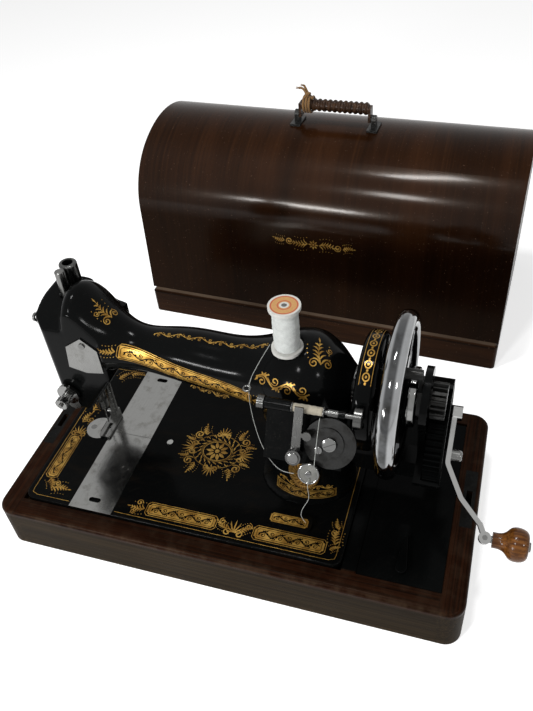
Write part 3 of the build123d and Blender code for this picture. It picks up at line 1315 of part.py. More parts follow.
def make_thread_guide():
    """Wire eye on the arm's front."""
    x, y, z = guide_place()
    stem = rod((x, y + GUIDE_STEM, z), (0, -1, 0), 2 * GUIDE_STEM, GUIDE_WIRE_R)
    eye = Plane(
        origin=(x, y - GUIDE_STEM - GUIDE_RING_R, z), z_dir=(0, 0, 1),
    ) * Torus(GUIDE_RING_R, GUIDE_WIRE_R)
    return stem + eye


# Handwheel and shaft
def make_main_shaft():
    """Main shaft from the needle-bar cam to the knob."""
    start = (CAVITY_END - BUSH_LENGTH / 2, ARM_Y, SHAFT_Z)
    return rod(start, (1, 0, 0), KNOB_END - CAVITY_END + BUSH_LENGTH / 2, SHAFT_R)


def make_needle_cam():
    """Cam disc on the shaft's inner end."""
    start = (CAVITY_END - PASS_GAP, ARM_Y, SHAFT_Z)
    body = rod(start, (-1, 0, 0), BUSH_LENGTH / 2 - PASS_GAP, 2 * SHAFT_R - PASS_GAP)
    return body - rod(start, (-1, 0, 0), BUSH_LENGTH / 2 - PASS_GAP, SHAFT_R)


def make_handwheel():
    """Handwheel: bright rim, spokes, hub and the belt pulley beside the pillar."""
    axis = Axis((0, ARM_Y, SHAFT_Z), (1, 0, 0))
    rim_middle = WHEEL_R - RIM_HALF_THICK
    rim_plane = Plane(origin=(WHEEL_X, ARM_Y, SHAFT_Z + rim_middle), x_dir=(1, 0, 0), z_dir=(0, -1, 0))
    body = rod((HUB_START, ARM_Y, SHAFT_Z), (1, 0, 0), HUB_LENGTH, HUB_R)
    pulley = rod((HUB_START, ARM_Y, SHAFT_Z), (1, 0, 0), PULLEY_WIDTH, PULLEY_R)
    pulley = fillet(pulley.edges().filter_by(GeomType.CIRCLE), PULLEY_ROUND)
    body += pulley
    for step in range(SPOKE_COUNT):
        spoke = block(WHEEL_X - SPOKE_THICK / 2, WHEEL_X + SPOKE_THICK / 2, ARM_Y - SPOKE_WIDTH / 2,
                      ARM_Y + SPOKE_WIDTH / 2, SHAFT_Z + SHAFT_R + RIM_HALF_THICK, SHAFT_Z + rim_middle)
        body += spoke.rotate(axis, 360 * step / SPOKE_COUNT)
    body += revolve(rim_plane * Ellipse(RIM_HALF_WIDTH, RIM_HALF_THICK), axis=axis)
    return body - rod((HUB_START, ARM_Y, SHAFT_Z), (1, 0, 0), HUB_LENGTH, SHAFT_R)


def make_stop_knob():
    """Bright clamp knob that couples the wheel to the shaft."""
    body = rod((KNOB_X, ARM_Y, SHAFT_Z), (1, 0, 0), KNOB_WIDTH, KNOB_R)
    body = fillet(body.edges().filter_by(GeomType.CIRCLE), KNOB_ROUND)
    return body - rod((KNOB_X, ARM_Y, SHAFT_Z), (1, 0, 0), KNOB_WIDTH, SHAFT_R + RUN_GAP)


# Hand crank
def gear_blank(teeth, phase):
    """A toothed outline drawn about the origin; phase turns it, in degrees."""
    pitch_r = TOOTH_MODULE * teeth / 2
    root = pitch_r - TOOTH_DEDENDUM
    tip = pitch_r + TOOTH_ADDENDUM
    points = []
    for step in range(teeth):
        middle = math.radians(phase) + 2 * math.pi * step / teeth
        for radius, width, side in (
            (root, TOOTH_ROOT, -1), (tip, TOOTH_TIP, -1), (tip, TOOTH_TIP, 1), (root, TOOTH_ROOT, 1),
        ):
            angle = middle + side * width / (2 * radius)
            points.append((radius * math.cos(angle), radius * math.sin(angle)))
    return make_face(Polyline(*points, close=True))


def make_pinion():
    """Pinion, its sleeve through the bracket, and the driver with its finger."""
    centre = Plane(origin=(GEAR_X, ARM_Y, SHAFT_Z), x_dir=(0, 1, 0), z_dir=(1, 0, 0))
    phase = MESH_ANGLE + 180 + 180 / PINION_TEETH
    teeth = centre * extrude(gear_blank(PINION_TEETH, phase), amount=GEAR_WIDTH - 2 * GEAR_FLANGE)
    driver_end = DRIVER_X + DRIVER_THICK
    reach = SHAFT_Z + DRIVER_REACH
    driver = rod((DRIVER_X, ARM_Y, SHAFT_Z), (1, 0, 0), GEAR_X - DRIVER_X, SLEEVE_R)
    driver += rod((DRIVER_X, ARM_Y, SHAFT_Z), (1, 0, 0), DRIVER_THICK, HUB_R)
    driver += block(DRIVER_X, driver_end, ARM_Y - FINGER_R, ARM_Y + FINGER_R, SHAFT_Z, reach)
    driver += rod((driver_end, ARM_Y, reach), (-1, 0, 0), driver_end - WHEEL_X, FINGER_R)
    turn = math.degrees((SPOKE_WIDTH / 2 + FINGER_R + PASS_GAP) / DRIVER_REACH)
    return driver.rotate(Axis((0, ARM_Y, SHAFT_Z), (1, 0, 0)), turn) + teeth


def arm_path_point(reach, out):
    """A point on the crank arm: reach from the gear's axis, out from its face."""
    angle = math.radians(CRANK_ANGLE)
    return (GEAR_END + out, GEAR_Y + reach * math.cos(angle), GEAR_Z + reach * math.sin(angle))


def make_crank_gear():
    """Large gear with web, hub and the bosses that carry the arm."""
    centre = Plane(origin=(GEAR_X, GEAR_Y, GEAR_Z), x_dir=(0, 1, 0), z_dir=(1, 0, 0))
    body = centre * extrude(gear_blank(GEAR_TEETH, MESH_ANGLE), amount=GEAR_WIDTH)
    web_r = GEAR_PITCH_R - TOOTH_DEDENDUM - GEAR_RIM
    recess = (GEAR_WIDTH - GEAR_WEB) / 2
    for start in (GEAR_X, GEAR_END - recess):
        body -= ring((start, GEAR_Y, GEAR_Z), (1, 0, 0), recess, web_r, GEAR_BOSS_R)
    body += ring((GEAR_END - GEAR_FLANGE, GEAR_Y, GEAR_Z), (1, 0, 0), GEAR_FLANGE, GUARD_R - PASS_GAP, web_r)
    body += rod((GEAR_END, GEAR_Y, GEAR_Z), (1, 0, 0), ARM_DIP - ARM_BAR_THICK / 2, GEAR_BOSS_R)
    body -= rod((GEAR_X, GEAR_Y, GEAR_Z), (1, 0, 0), GEAR_WIDTH - GEAR_FLANGE, GEAR_STUD_R + RUN_GAP)
    _, y, z = arm_path_point(-ARM_TAIL, 0)
    body += rod((GEAR_END - recess, y, z), (1, 0, 0), recess + ARM_DIP - ARM_BAR_THICK / 2, PIVOT_BOSS_R)
    return body


def make_crank_arm():
    """Bright S-shaped bar from the pivot boss past the latch to the forked end."""
    points = [
        arm_path_point(-ARM_TAIL, ARM_DIP),
        arm_path_point(ARM_BEND_START, ARM_DIP),
        arm_path_point(ARM_BEND_REACH, ARM_OUT),
        arm_path_point(ARM_ROOT_REACH, ARM_ROOT_OUT),
    ]
    angle = math.radians(CRANK_ANGLE)
    side = (0, -math.sin(angle), math.cos(angle))
    path = FilletPolyline(*points, radius=ARM_BAR_WIDTH)
    start = Plane(origin=points[0], x_dir=side, z_dir=path % 0)
    bar = sweep(start * Rectangle(ARM_BAR_WIDTH, ARM_BAR_THICK), path=path)
    pivot = rod(
        (points[0][0] - ARM_BAR_THICK / 2, points[0][1], points[0][2]), (1, 0, 0), 2 * ARM_BAR_THICK,
        PIVOT_BOSS_R,
    )
    return bar + pivot + knuckle_cheeks()


def knuckle_centre():
    """Where the handle's knuckle turns at the crank arm's end."""
    return arm_path_point(CRANK_THROW, ARM_END_OUT)


def knuckle_axis():
    """Axis of the knuckle, square to the arm and to X."""
    angle = math.radians(CRANK_ANGLE)
    return Vector(0, -math.sin(angle), math.cos(angle))


def knuckle_cheeks():
    """Fork at the crank arm's end, bored for the knuckle's pin."""
    axis = knuckle_axis()
    centre = Vector(*knuckle_centre())
    root = Vector(*arm_path_point(ARM_ROOT_REACH, ARM_ROOT_OUT))
    inner = KNUCKLE_WIDTH / 2 + SLIDE_GAP
    body = None
    for side in (-1, 1):
        start = centre + axis * (side * inner)
        cheek = rod(start, axis * side, KNUCKLE_CHEEK, KNUCKLE_R)
        cheek += make_bar_between(
            start, root + axis * (side * inner), axis * side, KNUCKLE_CHEEK, ARM_BAR_THICK / 2,
        )
        cheek -= rod(start, axis * side, KNUCKLE_CHEEK, KNUCKLE_PIN_R + RUN_GAP)
        body = cheek if body is None else body + cheek
    bridge = rod(root - axis * (inner + KNUCKLE_CHEEK), axis, 2 * (inner + KNUCKLE_CHEEK), ARM_BAR_THICK / 2)
    return body + bridge


def make_bar_between(start, end, normal, thick, half_width):
    """A flat bar between two points, square to a normal."""
    along = (end - start).normalized()
    place = Plane(origin=start, x_dir=along, z_dir=normal)
    length = (end - start).length
    return place * Pos(length / 2, 0, thick / 2) * Box(length, 2 * half_width, thick)


def make_latch():
    """Spring latch that holds the arm to the gear."""
    x, y, z = arm_path_point(ARM_LATCH_REACH, ARM_DIP + ARM_BAR_THICK / 2)
    body = rod((x, y, z), (1, 0, 0), LATCH_LENGTH, LATCH_R)
    return fillet(body.faces().sort_by(Axis.X)[-1].edges(), LATCH_R / 2)


def make_handle_spindle():
    """Knuckle, spindle and end rivet of the handle."""
    axis = knuckle_axis()
    centre = Vector(*knuckle_centre())
    body = rod(centre - axis * (KNUCKLE_WIDTH / 2), axis, KNUCKLE_WIDTH, KNUCKLE_R)
    pin_half = KNUCKLE_WIDTH / 2 + SLIDE_GAP + KNUCKLE_CHEEK
    body += rod(centre - axis * pin_half, axis, 2 * pin_half, KNUCKLE_PIN_R)
    x, y, z = knuckle_centre()
    body += rod((x, y, z), (1, 0, 0), HANDLE_START + HANDLE_LENGTH + PASS_GAP, SPINDLE_R)
    end = x + HANDLE_START + HANDLE_LENGTH + PASS_GAP
    return body + rod((end, y, z), (1, 0, 0), RIVET_THICK, RIVET_R)


def make_crank_handle():
    """Pear-shaped wooden handle that turns on the spindle."""
    x, y, z = knuckle_centre()
    start = x + HANDLE_START
    end = start + HANDLE_LENGTH
    bulb = start + HANDLE_BULB_AT
    neck = start + FERRULE_LENGTH
    outline = [
        Line((start, 0), (start, HANDLE_NECK_R)),
        Line((start, HANDLE_NECK_R), (neck, HANDLE_NECK_R)),
        Spline(
            (neck, HANDLE_NECK_R), (bulb, HANDLE_BULB_R), (end, HANDLE_NECK_R),
            tangents=((1, 0), HANDLE_END_SLOPE),
        ),
        Line((end, HANDLE_NECK_R), (end, 0)),
        Line((end, 0), (start, 0)),
    ]
    plane = Plane(origin=(0, y, z), x_dir=(1, 0, 0), z_dir=(0, -1, 0))
    body = revolve(plane * make_face(outline), axis=Axis((0, y, z), (1, 0, 0)))
    return body - rod((start, y, z), (1, 0, 0), HANDLE_LENGTH, SPINDLE_R + RUN_GAP)


def guard(first, last):
    """A strip of the gear guard between two angles about the gear's axis."""
    outer = GUARD_R + GUARD_THICK
    hoop = ring((BRACKET_X, GEAR_Y, GEAR_Z), (1, 0, 0), GEAR_END - BRACKET_X, outer, GUARD_R)
    far = 2 * outer
    middle = (first + last) / 2
    corners = [(0, 0)]
    for angle in (first, middle, last):
        corners.append((far * math.cos(math.radians(angle)), far * math.sin(math.radians(angle))))
    wedge = Pos(0, GEAR_Y, GEAR_Z) * prism(corners, across(BRACKET_X), GEAR_END - BRACKET_X)
    plate = rod((BRACKET_X, GEAR_Y, GEAR_Z), (1, 0, 0), BRACKET_PLATE, outer) & wedge
    return (hoop & wedge) + plate


def make_crank_bracket():
    """Bracket from the pillar under the wheel to the plate that carries gear and pinion."""
    body = rod((BRACKET_X, ARM_Y, SHAFT_Z), (1, 0, 0), BRACKET_PLATE, BRACKET_HEAD_R)
    body += rod((BRACKET_X, GEAR_Y, GEAR_Z), (1, 0, 0), BRACKET_PLATE, BRACKET_GEAR_R)
    body += make_bar_between(
        Vector(BRACKET_X, GEAR_Y, GEAR_Z), Vector(BRACKET_X, ARM_Y, SHAFT_Z), Vector(1, 0, 0),
        BRACKET_PLATE, BRACKET_GEAR_R,
    )
    beam_y = GEAR_Y - BRACKET_BEAM_BACK / 2
    half = BRACKET_BEAM / 2
    body += block(
        PILLAR_X, BRACKET_X + BRACKET_PLATE, beam_y - half, beam_y + half, BEAM_Z - half, BEAM_Z + half,
    )
    body += block(BRACKET_X, BRACKET_X + BRACKET_PLATE, beam_y - half, beam_y + half, BEAM_Z - half, GEAR_Z)
    body += guard(FRONT_GUARD_FROM, FRONT_GUARD_TO)
    body += guard(REAR_GUARD_FROM, REAR_GUARD_TO)
    body += rod(
        (BRACKET_X, GEAR_Y, GEAR_Z), (1, 0, 0), GEAR_END - GEAR_FLANGE - PASS_GAP - BRACKET_X, GEAR_STUD_R,
    )
    body -= rod((BRACKET_X, ARM_Y, SHAFT_Z), (1, 0, 0), BRACKET_PLATE, SLEEVE_R + RUN_GAP)
    body -= pillar_loft(0)
    return body - rod((PILLAR_X, ARM_Y, BED_TOP), (0, 0, 1), SHAFT_HEIGHT, PILLAR_BORE_R)


# Bobbin winder
def winder_gear_x():
    """Middle of the winder's cam gear and worm, along the spindle."""
    return BED_RIGHT - WINDER_GEAR_FROM_BED_END


def winder_spindle_place():
    """Y and Z of the winder's spindle, resting its pulley against the belt pulley."""
    reach = PULLEY_R + WINDER_PULLEY_R + PASS_GAP
    angle = math.radians(WINDER_CONTACT_ANGLE)
    return (ARM_Y + reach * math.cos(angle), SHAFT_Z + reach * math.sin(angle))


def winder_plane():
    """Plane of the cam gear: drawn along X and up towards the spindle, facing out and up."""
    tilt = math.radians(WINDER_TILT)
    up = Vector(0, math.cos(tilt), math.sin(tilt))
    out = Vector(0, -math.sin(tilt), math.cos(tilt))
    y, z = winder_spindle_place()
    drop = WINDER_GEAR_R + WINDER_WORM_R + PASS_GAP
    origin = Vector(winder_gear_x(), y, z) - up * drop
    return Plane(origin=origin, x_dir=(1, 0, 0), z_dir=out)


def winder_pivot_place():
    """Y and Z of the pin that the winder's frame swings on."""
    point = winder_plane().from_local_coords(Vector(0, -WINDER_PIVOT_DROP, -WINDER_PIVOT_BACK))
    return (point.Y, point.Z)


def winder_lug(x):
    """A lug on the pillar's front with a pin for the winder's frame."""
    y, z = winder_pivot_place()
    lug = rod((x, y, z), (1, 0, 0), WINDER_LUG_LENGTH, WINDER_LUG_R)
    lug += block(x, x + WINDER_LUG_LENGTH, y, ARM_Y - PILLAR_BORE_R, z - WINDER_LUG_R, z + WINDER_LUG_R)
    return lug - rod((x, y, z), (1, 0, 0), WINDER_LUG_LENGTH, WINDER_PIVOT_R + RUN_GAP)


def winder_slab(left, right, low, high, back, front):
    """A box in the winder's own plane: along X, up the plane and out of it."""
    middle = winder_plane() * Pos((left + right) / 2, (low + high) / 2, (back + front) / 2)
    return middle * Box(right - left, high - low, front - back)


def winder_stud(right, up, front):
    """A round stud out of the winder's back plate."""
    back = -WINDER_FRAME_BACK - WINDER_FRAME_THICK / 2
    middle = winder_plane() * Pos(right, up, (back + front) / 2)
    return middle * Cylinder(WINDER_STUD_R, front - back)


def winder_barrels():
    """The two bearings of the spindle: distance from the gear, length and radius."""
    right = WINDER_WORM_LENGTH / 2 + PASS_GAP
    return [
        (-WINDER_LEFT_FROM_GEAR, WINDER_BARREL_LENGTH, WINDER_BARREL_R),
        (right, WINDER_BEARING_LENGTH, WINDER_WORM_R),
    ]


def winder_hinge():
    """Knuckle, pin and strut that join the winder's back plate to the pillar's lugs."""
    first, second = winder_lug_places()
    y, z = winder_pivot_place()
    left = first + WINDER_LUG_LENGTH + PASS_GAP
    right = second - PASS_GAP
    body = rod((left, y, z), (1, 0, 0), right - left, WINDER_LUG_R)
    body += rod((first, y, z), (1, 0, 0), second + WINDER_LUG_LENGTH - first, WINDER_PIVOT_R)
    half = WINDER_LUG_R * WINDER_SLAB_SHARE
    middle = winder_gear_x()
    front = -WINDER_FRAME_BACK - WINDER_FRAME_THICK / 2
    low = -WINDER_PIVOT_DROP - half
    high = -WINDER_PIVOT_DROP + half
    return body + winder_slab(left - middle, right - middle, low, high, -WINDER_PIVOT_BACK, front)


def make_winder_frame():
    """Swinging frame: back plate, spindle barrels, studs, pivot pin and tension disc."""
    up_spindle = WINDER_GEAR_R + WINDER_WORM_R + PASS_GAP
    y, z = winder_spindle_place()
    back = -WINDER_FRAME_BACK - WINDER_FRAME_THICK
    right = WINDER_WORM_LENGTH / 2 + PASS_GAP + WINDER_BEARING_LENGTH
    low = -WINDER_PIVOT_DROP - WINDER_LUG_R
    body = winder_slab(-WINDER_LEFT_FROM_GEAR, right, low, up_spindle, back, -WINDER_FRAME_BACK)
    for start, length, radius in winder_barrels():
        body += rod((winder_gear_x() + start, y, z), (1, 0, 0), length, radius)
        body += winder_slab(start, start + length, up_spindle - radius / 2, up_spindle + radius / 2,
                            back + WINDER_FRAME_THICK / 2, 0)
    body += winder_hinge()
    puck_low = -TENSION_PUCK_DOWN - WINDER_STUD_R
    body += winder_slab(-TENSION_PUCK_LEFT - WINDER_LUG_R, -TENSION_PUCK_LEFT + WINDER_LUG_R, puck_low,
                        -WINDER_PIVOT_DROP, back, -WINDER_FRAME_BACK)
    body += winder_stud(0, 0, WINDER_GEAR_THICK / 2 + PASS_GAP)
    body += winder_stud(-GUIDE_LEVER_LEFT, -GUIDE_LEVER_DOWN, GUIDE_LEVER_AHEAD + GUIDE_LEVER_THICK)
    body += winder_stud(-TENSION_PUCK_LEFT, -TENSION_PUCK_DOWN, GUIDE_LEVER_AHEAD)
    puck = winder_plane() * Pos(-TENSION_PUCK_LEFT, -TENSION_PUCK_DOWN, GUIDE_LEVER_AHEAD)
    body += puck * Cylinder(TENSION_PUCK_R, TENSION_PUCK_THICK)
    for start, length, radius in winder_barrels():
        body -= rod((winder_gear_x() + start, y, z), (1, 0, 0), length, WINDER_SPINDLE_R + RUN_GAP)
    return body


def make_winder_spindle():
    """Spindle with worm, pulley and the cup at its left end."""
    y, z = winder_spindle_place()
    x = winder_gear_x()
    left = x - WINDER_LEFT_FROM_GEAR
    pulley_x = HUB_START + PULLEY_WIDTH / 2 - WINDER_PULLEY_WIDTH / 2
    body = rod(
        (left - WINDER_PULLEY_WIDTH, y, z), (1, 0, 0), pulley_x - left + 2 * WINDER_PULLEY_WIDTH,
        WINDER_SPINDLE_R,
    )
    body += rod((left - PASS_GAP, y, z), (-1, 0, 0), WINDER_PULLEY_WIDTH - PASS_GAP, WINDER_BARREL_R + 1)
    body += rod((x - WINDER_WORM_LENGTH / 2, y, z), (1, 0, 0), WINDER_WORM_LENGTH, WINDER_WORM_R)
    return body + rod((pulley_x, y, z), (1, 0, 0), WINDER_PULLEY_WIDTH, WINDER_PULLEY_R)


def bobbin_left():
    """Left end of the bobbin on the spindle."""
    return winder_gear_x() - WINDER_LEFT_FROM_GEAR + WINDER_BARREL_LENGTH + PASS_GAP


def make_wound_bobbin():
    """Long bobbin with its end discs, and the outer layer of its thread."""
    y, z = winder_spindle_place()
    left = bobbin_left()
    length = BOBBIN_LENGTH - WINDER_WORM_LENGTH / 2
    body = rod((left, y, z), (1, 0, 0), length, BOBBIN_CORE_R)
    for start in (left, left + length - BOBBIN_FLANGE):
        body += rod((start, y, z), (1, 0, 0), BOBBIN_FLANGE, BOBBIN_R)
    body -= rod((left, y, z), (1, 0, 0), length, WINDER_SPINDLE_R)
    room = length - 2 * BOBBIN_FLANGE - 2 * BOBBIN_THREAD
    turns = int(room / (BOBBIN_THREAD + PASS_GAP))
    wound = coil(
        BOBBIN_CORE_R + BOBBIN_THREAD / 2 + SLIDE_GAP, room / turns, turns, BOBBIN_THREAD, "bobbin winding",
    )
    place = Plane(origin=(left + BOBBIN_FLANGE + BOBBIN_THREAD, y, z), z_dir=(1, 0, 0))
    return body + place * wound


def make_winder_gear():
    """Cam gear with the heart-shaped cam on its face."""
    plane = winder_plane()
    body = plane * Cylinder(WINDER_GEAR_R, WINDER_GEAR_THICK)
    cam = plane * Pos(
        -WINDER_STUD_R / 2, 0, WINDER_GEAR_THICK / 2 + PASS_GAP,
    ) * Cylinder(WINDER_GEAR_R * WINDER_CAM_SHARE, 2 * PASS_GAP)
    bore = plane * Cylinder(WINDER_STUD_R + RUN_GAP, 4 * WINDER_GEAR_THICK)
    return body + cam - bore


def make_guide_lever():
    """Thread guide lever: tall plate, side finger over the cam, and the pivot knob."""
    plane = winder_plane()
    level = GUIDE_LEVER_AHEAD + GUIDE_LEVER_THICK / 2
    tall = GUIDE_LEVER_UP + GUIDE_LEVER_DOWN
    body = plane * Pos(
        -GUIDE_LEVER_LEFT, (GUIDE_LEVER_UP - GUIDE_LEVER_DOWN) / 2, level,
    ) * Box(GUIDE_LEVER_WIDTH, tall, GUIDE_LEVER_THICK)
    body += plane * Pos(
        -GUIDE_LEVER_LEFT, -GUIDE_LEVER_DOWN, level,
    ) * Cylinder(GUIDE_KNOB_R, GUIDE_LEVER_THICK)
    finger_y = FOLLOWER_UP - GUIDE_LEVER_DOWN
    body += plane * Pos(-GUIDE_LEVER_LEFT + FOLLOWER_RIGHT / 2, finger_y, level) * Box(
        FOLLOWER_RIGHT, GUIDE_LEVER_WIDTH / 2, GUIDE_LEVER_THICK,
    )
    body += plane * Pos(
        -GUIDE_LEVER_LEFT + FOLLOWER_RIGHT, finger_y, level,
    ) * Cylinder(GUIDE_LEVER_WIDTH / 2, GUIDE_LEVER_THICK + 1)
    body -= plane * Pos(-GUIDE_LEVER_LEFT, -GUIDE_LEVER_DOWN, level) * Cylinder(
        WINDER_STUD_R + RUN_GAP, 4 * GUIDE_LEVER_THICK,
    )
    knob = plane * Pos(
        -GUIDE_LEVER_LEFT, -GUIDE_LEVER_DOWN,
        GUIDE_LEVER_AHEAD + GUIDE_LEVER_THICK + GUIDE_KNOB_LENGTH / 2 + PASS_GAP,
    )
    cap = knob * Cylinder(GUIDE_KNOB_R, GUIDE_KNOB_LENGTH)
    skirt = plane * Pos(
        -GUIDE_LEVER_LEFT, -GUIDE_LEVER_DOWN, GUIDE_LEVER_AHEAD + GUIDE_LEVER_THICK + PASS_GAP / 2,
    )
    skirt = skirt * Cylinder(GUIDE_KNOB_R, 2 * PASS_GAP) - skirt * Cylinder(
        WINDER_STUD_R + PASS_GAP, 2 * PASS_GAP,
    )
    return body + skirt + cap


# Shuttle drive
def make_shuttle_lever():
    """Rocking shaft in the pillar with the long lever and the shuttle's carrier."""
    top = BED_TOP - LEVER_DEPTH + LEVER_THICK
    low = BED_TOP - LEVER_DEPTH
    body = rod((PILLAR_X, ARM_Y, low), (0, 0, 1), LEVER_DEPTH + ROCK_SHAFT_TOP, ROCK_SHAFT_R)
    body += rod((PILLAR_X, ARM_Y, BED_TOP + SLIDE_GAP), (0, 0, 1), ROCK_COLLAR, ROCK_COLLAR_R)
    body += rod((PILLAR_X, ARM_Y, low), (0, 0, 1), LEVER_THICK, 2 * ROCK_SHAFT_R)
    body += block(PLATE_MIDDLE, PILLAR_X, ARM_Y - LEVER_WIDTH / 2, ARM_Y + LEVER_WIDTH / 2, low, top)
    half = CARRIER_WIDTH / 2
    reach = CARRIER_LENGTH / 2
    body += block(
        PLATE_MIDDLE - half, PLATE_MIDDLE + half, ARM_Y - reach, ARM_Y + reach, top - CARRIER_WALL, top,
    )
    for side in (-1, 1):
        edge = ARM_Y + side * reach
        body += block(PLATE_MIDDLE - half, PLATE_MIDDLE + half, min(edge, edge - side * CARRIER_WALL),
                      max(edge, edge - side * CARRIER_WALL), top, top + SHUTTLE_R)
    return body


def make_shuttle():
    """Boat-shaped shuttle lying in its carrier."""
    height = BED_TOP - LEVER_DEPTH + LEVER_THICK + SHUTTLE_R + SLIDE_GAP
    tail = ARM_Y + SHUTTLE_LENGTH / 2
    body = rod((PLATE_MIDDLE, tail, height), (0, -1, 0), SHUTTLE_LENGTH - SHUTTLE_NOSE, SHUTTLE_R)
    nose = Plane(origin=(PLATE_MIDDLE, tail - SHUTTLE_LENGTH + SHUTTLE_NOSE, height), z_dir=(0, -1, 0))
    return body + nose * Cone(SHUTTLE_R, 1, SHUTTLE_NOSE, align=(Align.CENTER, Align.CENTER, Align.MIN))


# Cover
def lid_place():
    """The cover's own frame: front left corner at the origin, X along it."""
    return Pos(LID_CORNER_X, LID_CORNER_Y, 0) * Rot(0, 0, LID_YAW)


def lid_outline(inset):
    """The cover's arched end view above the skirt, as Y and Z, drawn in by a wall."""
    foot = Vector(LID_FOOT_INSET + inset, LID_SKIRT_HEIGHT)
    wall = Vector(LID_FOOT_INSET + LID_WALL_LEAN + inset, LID_WALL_TOP)
    turn = Vector(LID_TURN_IN + inset / 2, LID_TURN_HEIGHT - inset * LID_TURN_SHARE)
    turn_far = Vector(LID_DEPTH - turn.X, turn.Y)
    wall_far = Vector(LID_DEPTH - wall.X, wall.Y)
    foot_far = Vector(LID_DEPTH - foot.X, foot.Y)
    near_wall = Line(foot, wall)
    near_turn = TangentArc(wall, turn, tangent=near_wall % 1)
    crown = TangentArc(turn, turn_far, tangent=near_turn % 1)
    far_turn = TangentArc(turn_far, wall_far, tangent=crown % 1)
    return make_face([near_wall, near_turn, crown, far_turn, Line(wall_far, foot_far), Line(foot_far, foot)])


def make_lid_shell():
    """Bent sheet of the cover."""
    outer = extrude(across(0) * lid_outline(0), amount=LID_LENGTH)
    return lid_place() * (outer - extrude(across(0) * lid_outline(LID_WALL), amount=LID_LENGTH))


def make_lid_ends():
    """Boards that close the cover's ends."""
    inside = lid_outline(LID_WALL)
    left = extrude(across(0) * inside, amount=LID_END_THICK)
    right = extrude(across(LID_LENGTH - LID_END_THICK) * inside, amount=LID_END_THICK)
    return lid_place() * (left + right)


def make_lid_skirt():
    """Moulded skirt round the cover's foot."""
    body = rounded_block(0, LID_LENGTH, 0, LID_DEPTH, 0, LID_SKIRT_HEIGHT, LID_COVE)
    body = chamfer(body.faces().sort_by(Axis.Z)[-1].edges(), LID_COVE, LID_FOOT_INSET)
    inner = block(
        LID_SKIRT_WALL, LID_LENGTH - LID_SKIRT_WALL, LID_SKIRT_WALL, LID_DEPTH - LID_SKIRT_WALL, 0,
        LID_SKIRT_HEIGHT,
    )
    return lid_place() * (body - inner)


def lid_crest():
    """Height of the cover's crest."""
    return (across(0) * lid_outline(0)).bounding_box().max.Z


def bracket_lefts():
    """Middle of each handle bracket along the cover."""
    middle = LID_LENGTH / 2
    return [middle - BRACKET_SPREAD / 2, middle + BRACKET_SPREAD / 2]


def bail_height():
    """Height of the carrying handle's pivots."""
    return lid_crest() + BRACKET_RISE


def make_lid_brackets():
    """Two feet with posts that hold the carrying handle."""
    brackets = []
    crest = lid_crest()
    shell = extrude(across(0) * lid_outline(0), amount=LID_LENGTH)
    for x in bracket_lefts():
        body = block(
            x - BRACKET_FOOT_LENGTH / 2, x + BRACKET_FOOT_LENGTH / 2,
            LID_MIDDLE - BRACKET_FOOT_WIDTH / 2, LID_MIDDLE + BRACKET_FOOT_WIDTH / 2,
            crest - BRACKET_FOOT_THICK, crest + BRACKET_FOOT_THICK,
        )
        body += block(
            x - BRACKET_POST / 2, x + BRACKET_POST / 2, LID_MIDDLE - BRACKET_POST,
            LID_MIDDLE + BRACKET_POST, crest, bail_height(),
        )
        body += rod((x - BRACKET_POST / 2, LID_MIDDLE, bail_height()), (1, 0, 0), BRACKET_POST, BRACKET_POST)
        body -= rod(
            (x - BRACKET_POST / 2, LID_MIDDLE, bail_height()), (1, 0, 0), BRACKET_POST,
            BAIL_PIN_R + RUN_GAP,
        )
        brackets.append(body - shell)
    return lid_place() * (brackets[0] + brackets[1])


def make_lid_handle():
    """Carrying handle: two end plates with pins, and the ribbed grip between them."""
    left, right = bracket_lefts()
    low = bail_height()
    high = low + BAIL_ARM
    body = None
    for x, inward in ((left, 1), (right, -1)):
        outer = x + inward * (BRACKET_POST / 2 + PASS_GAP)
        inner = outer + inward * BAIL_PLATE
        plate = block(
            min(outer, inner), max(outer, inner),
            LID_MIDDLE - BAIL_PLATE_WIDTH / 2, LID_MIDDLE + BAIL_PLATE_WIDTH / 2,
            low - BAIL_PIN_R, high + BAIL_PIN_R,
        )
        plate += rod(
            (outer + inward * BAIL_PLATE, LID_MIDDLE, low), (-inward, 0, 0),
            BAIL_PLATE + BRACKET_POST + PASS_GAP, BAIL_PIN_R,
        )
        body = plate if body is None else body + plate
    start = left + BRACKET_POST / 2 + PASS_GAP + BAIL_PLATE
    end = right - BRACKET_POST / 2 - PASS_GAP - BAIL_PLATE
    body += rod((start, LID_MIDDLE, high), (1, 0, 0), end - start, GRIP_R - GRIP_GROOVE)
    rib = (end - start) / GRIP_RIBS
    for step in range(GRIP_RIBS):
        middle = start + (step + 0.5) * rib
        bead = Plane(origin=(middle, LID_MIDDLE, high), z_dir=(1, 0, 0)) * Torus(
            GRIP_R - rib * GRIP_RIB_SHARE, rib * GRIP_RIB_SHARE,
        )
        body += bead
    return lid_place() * body


def make_handle_tie():
    """Lace wound round the left end of the grip."""
    left, _ = bracket_lefts()
    start = left + BRACKET_POST / 2 + PASS_GAP + BAIL_PLATE
    turns = coil(GRIP_R + TIE_R + SLIDE_GAP, TIE_PITCH, TIE_TURNS, 2 * TIE_R, "handle tie")
    place = Plane(
        origin=(start + TIE_R + SLIDE_GAP, LID_MIDDLE, bail_height() + BAIL_ARM), x_dir=(0, 1, 0),
        z_dir=(1, 0, 0),
    )
    return lid_place() * (place * turns)


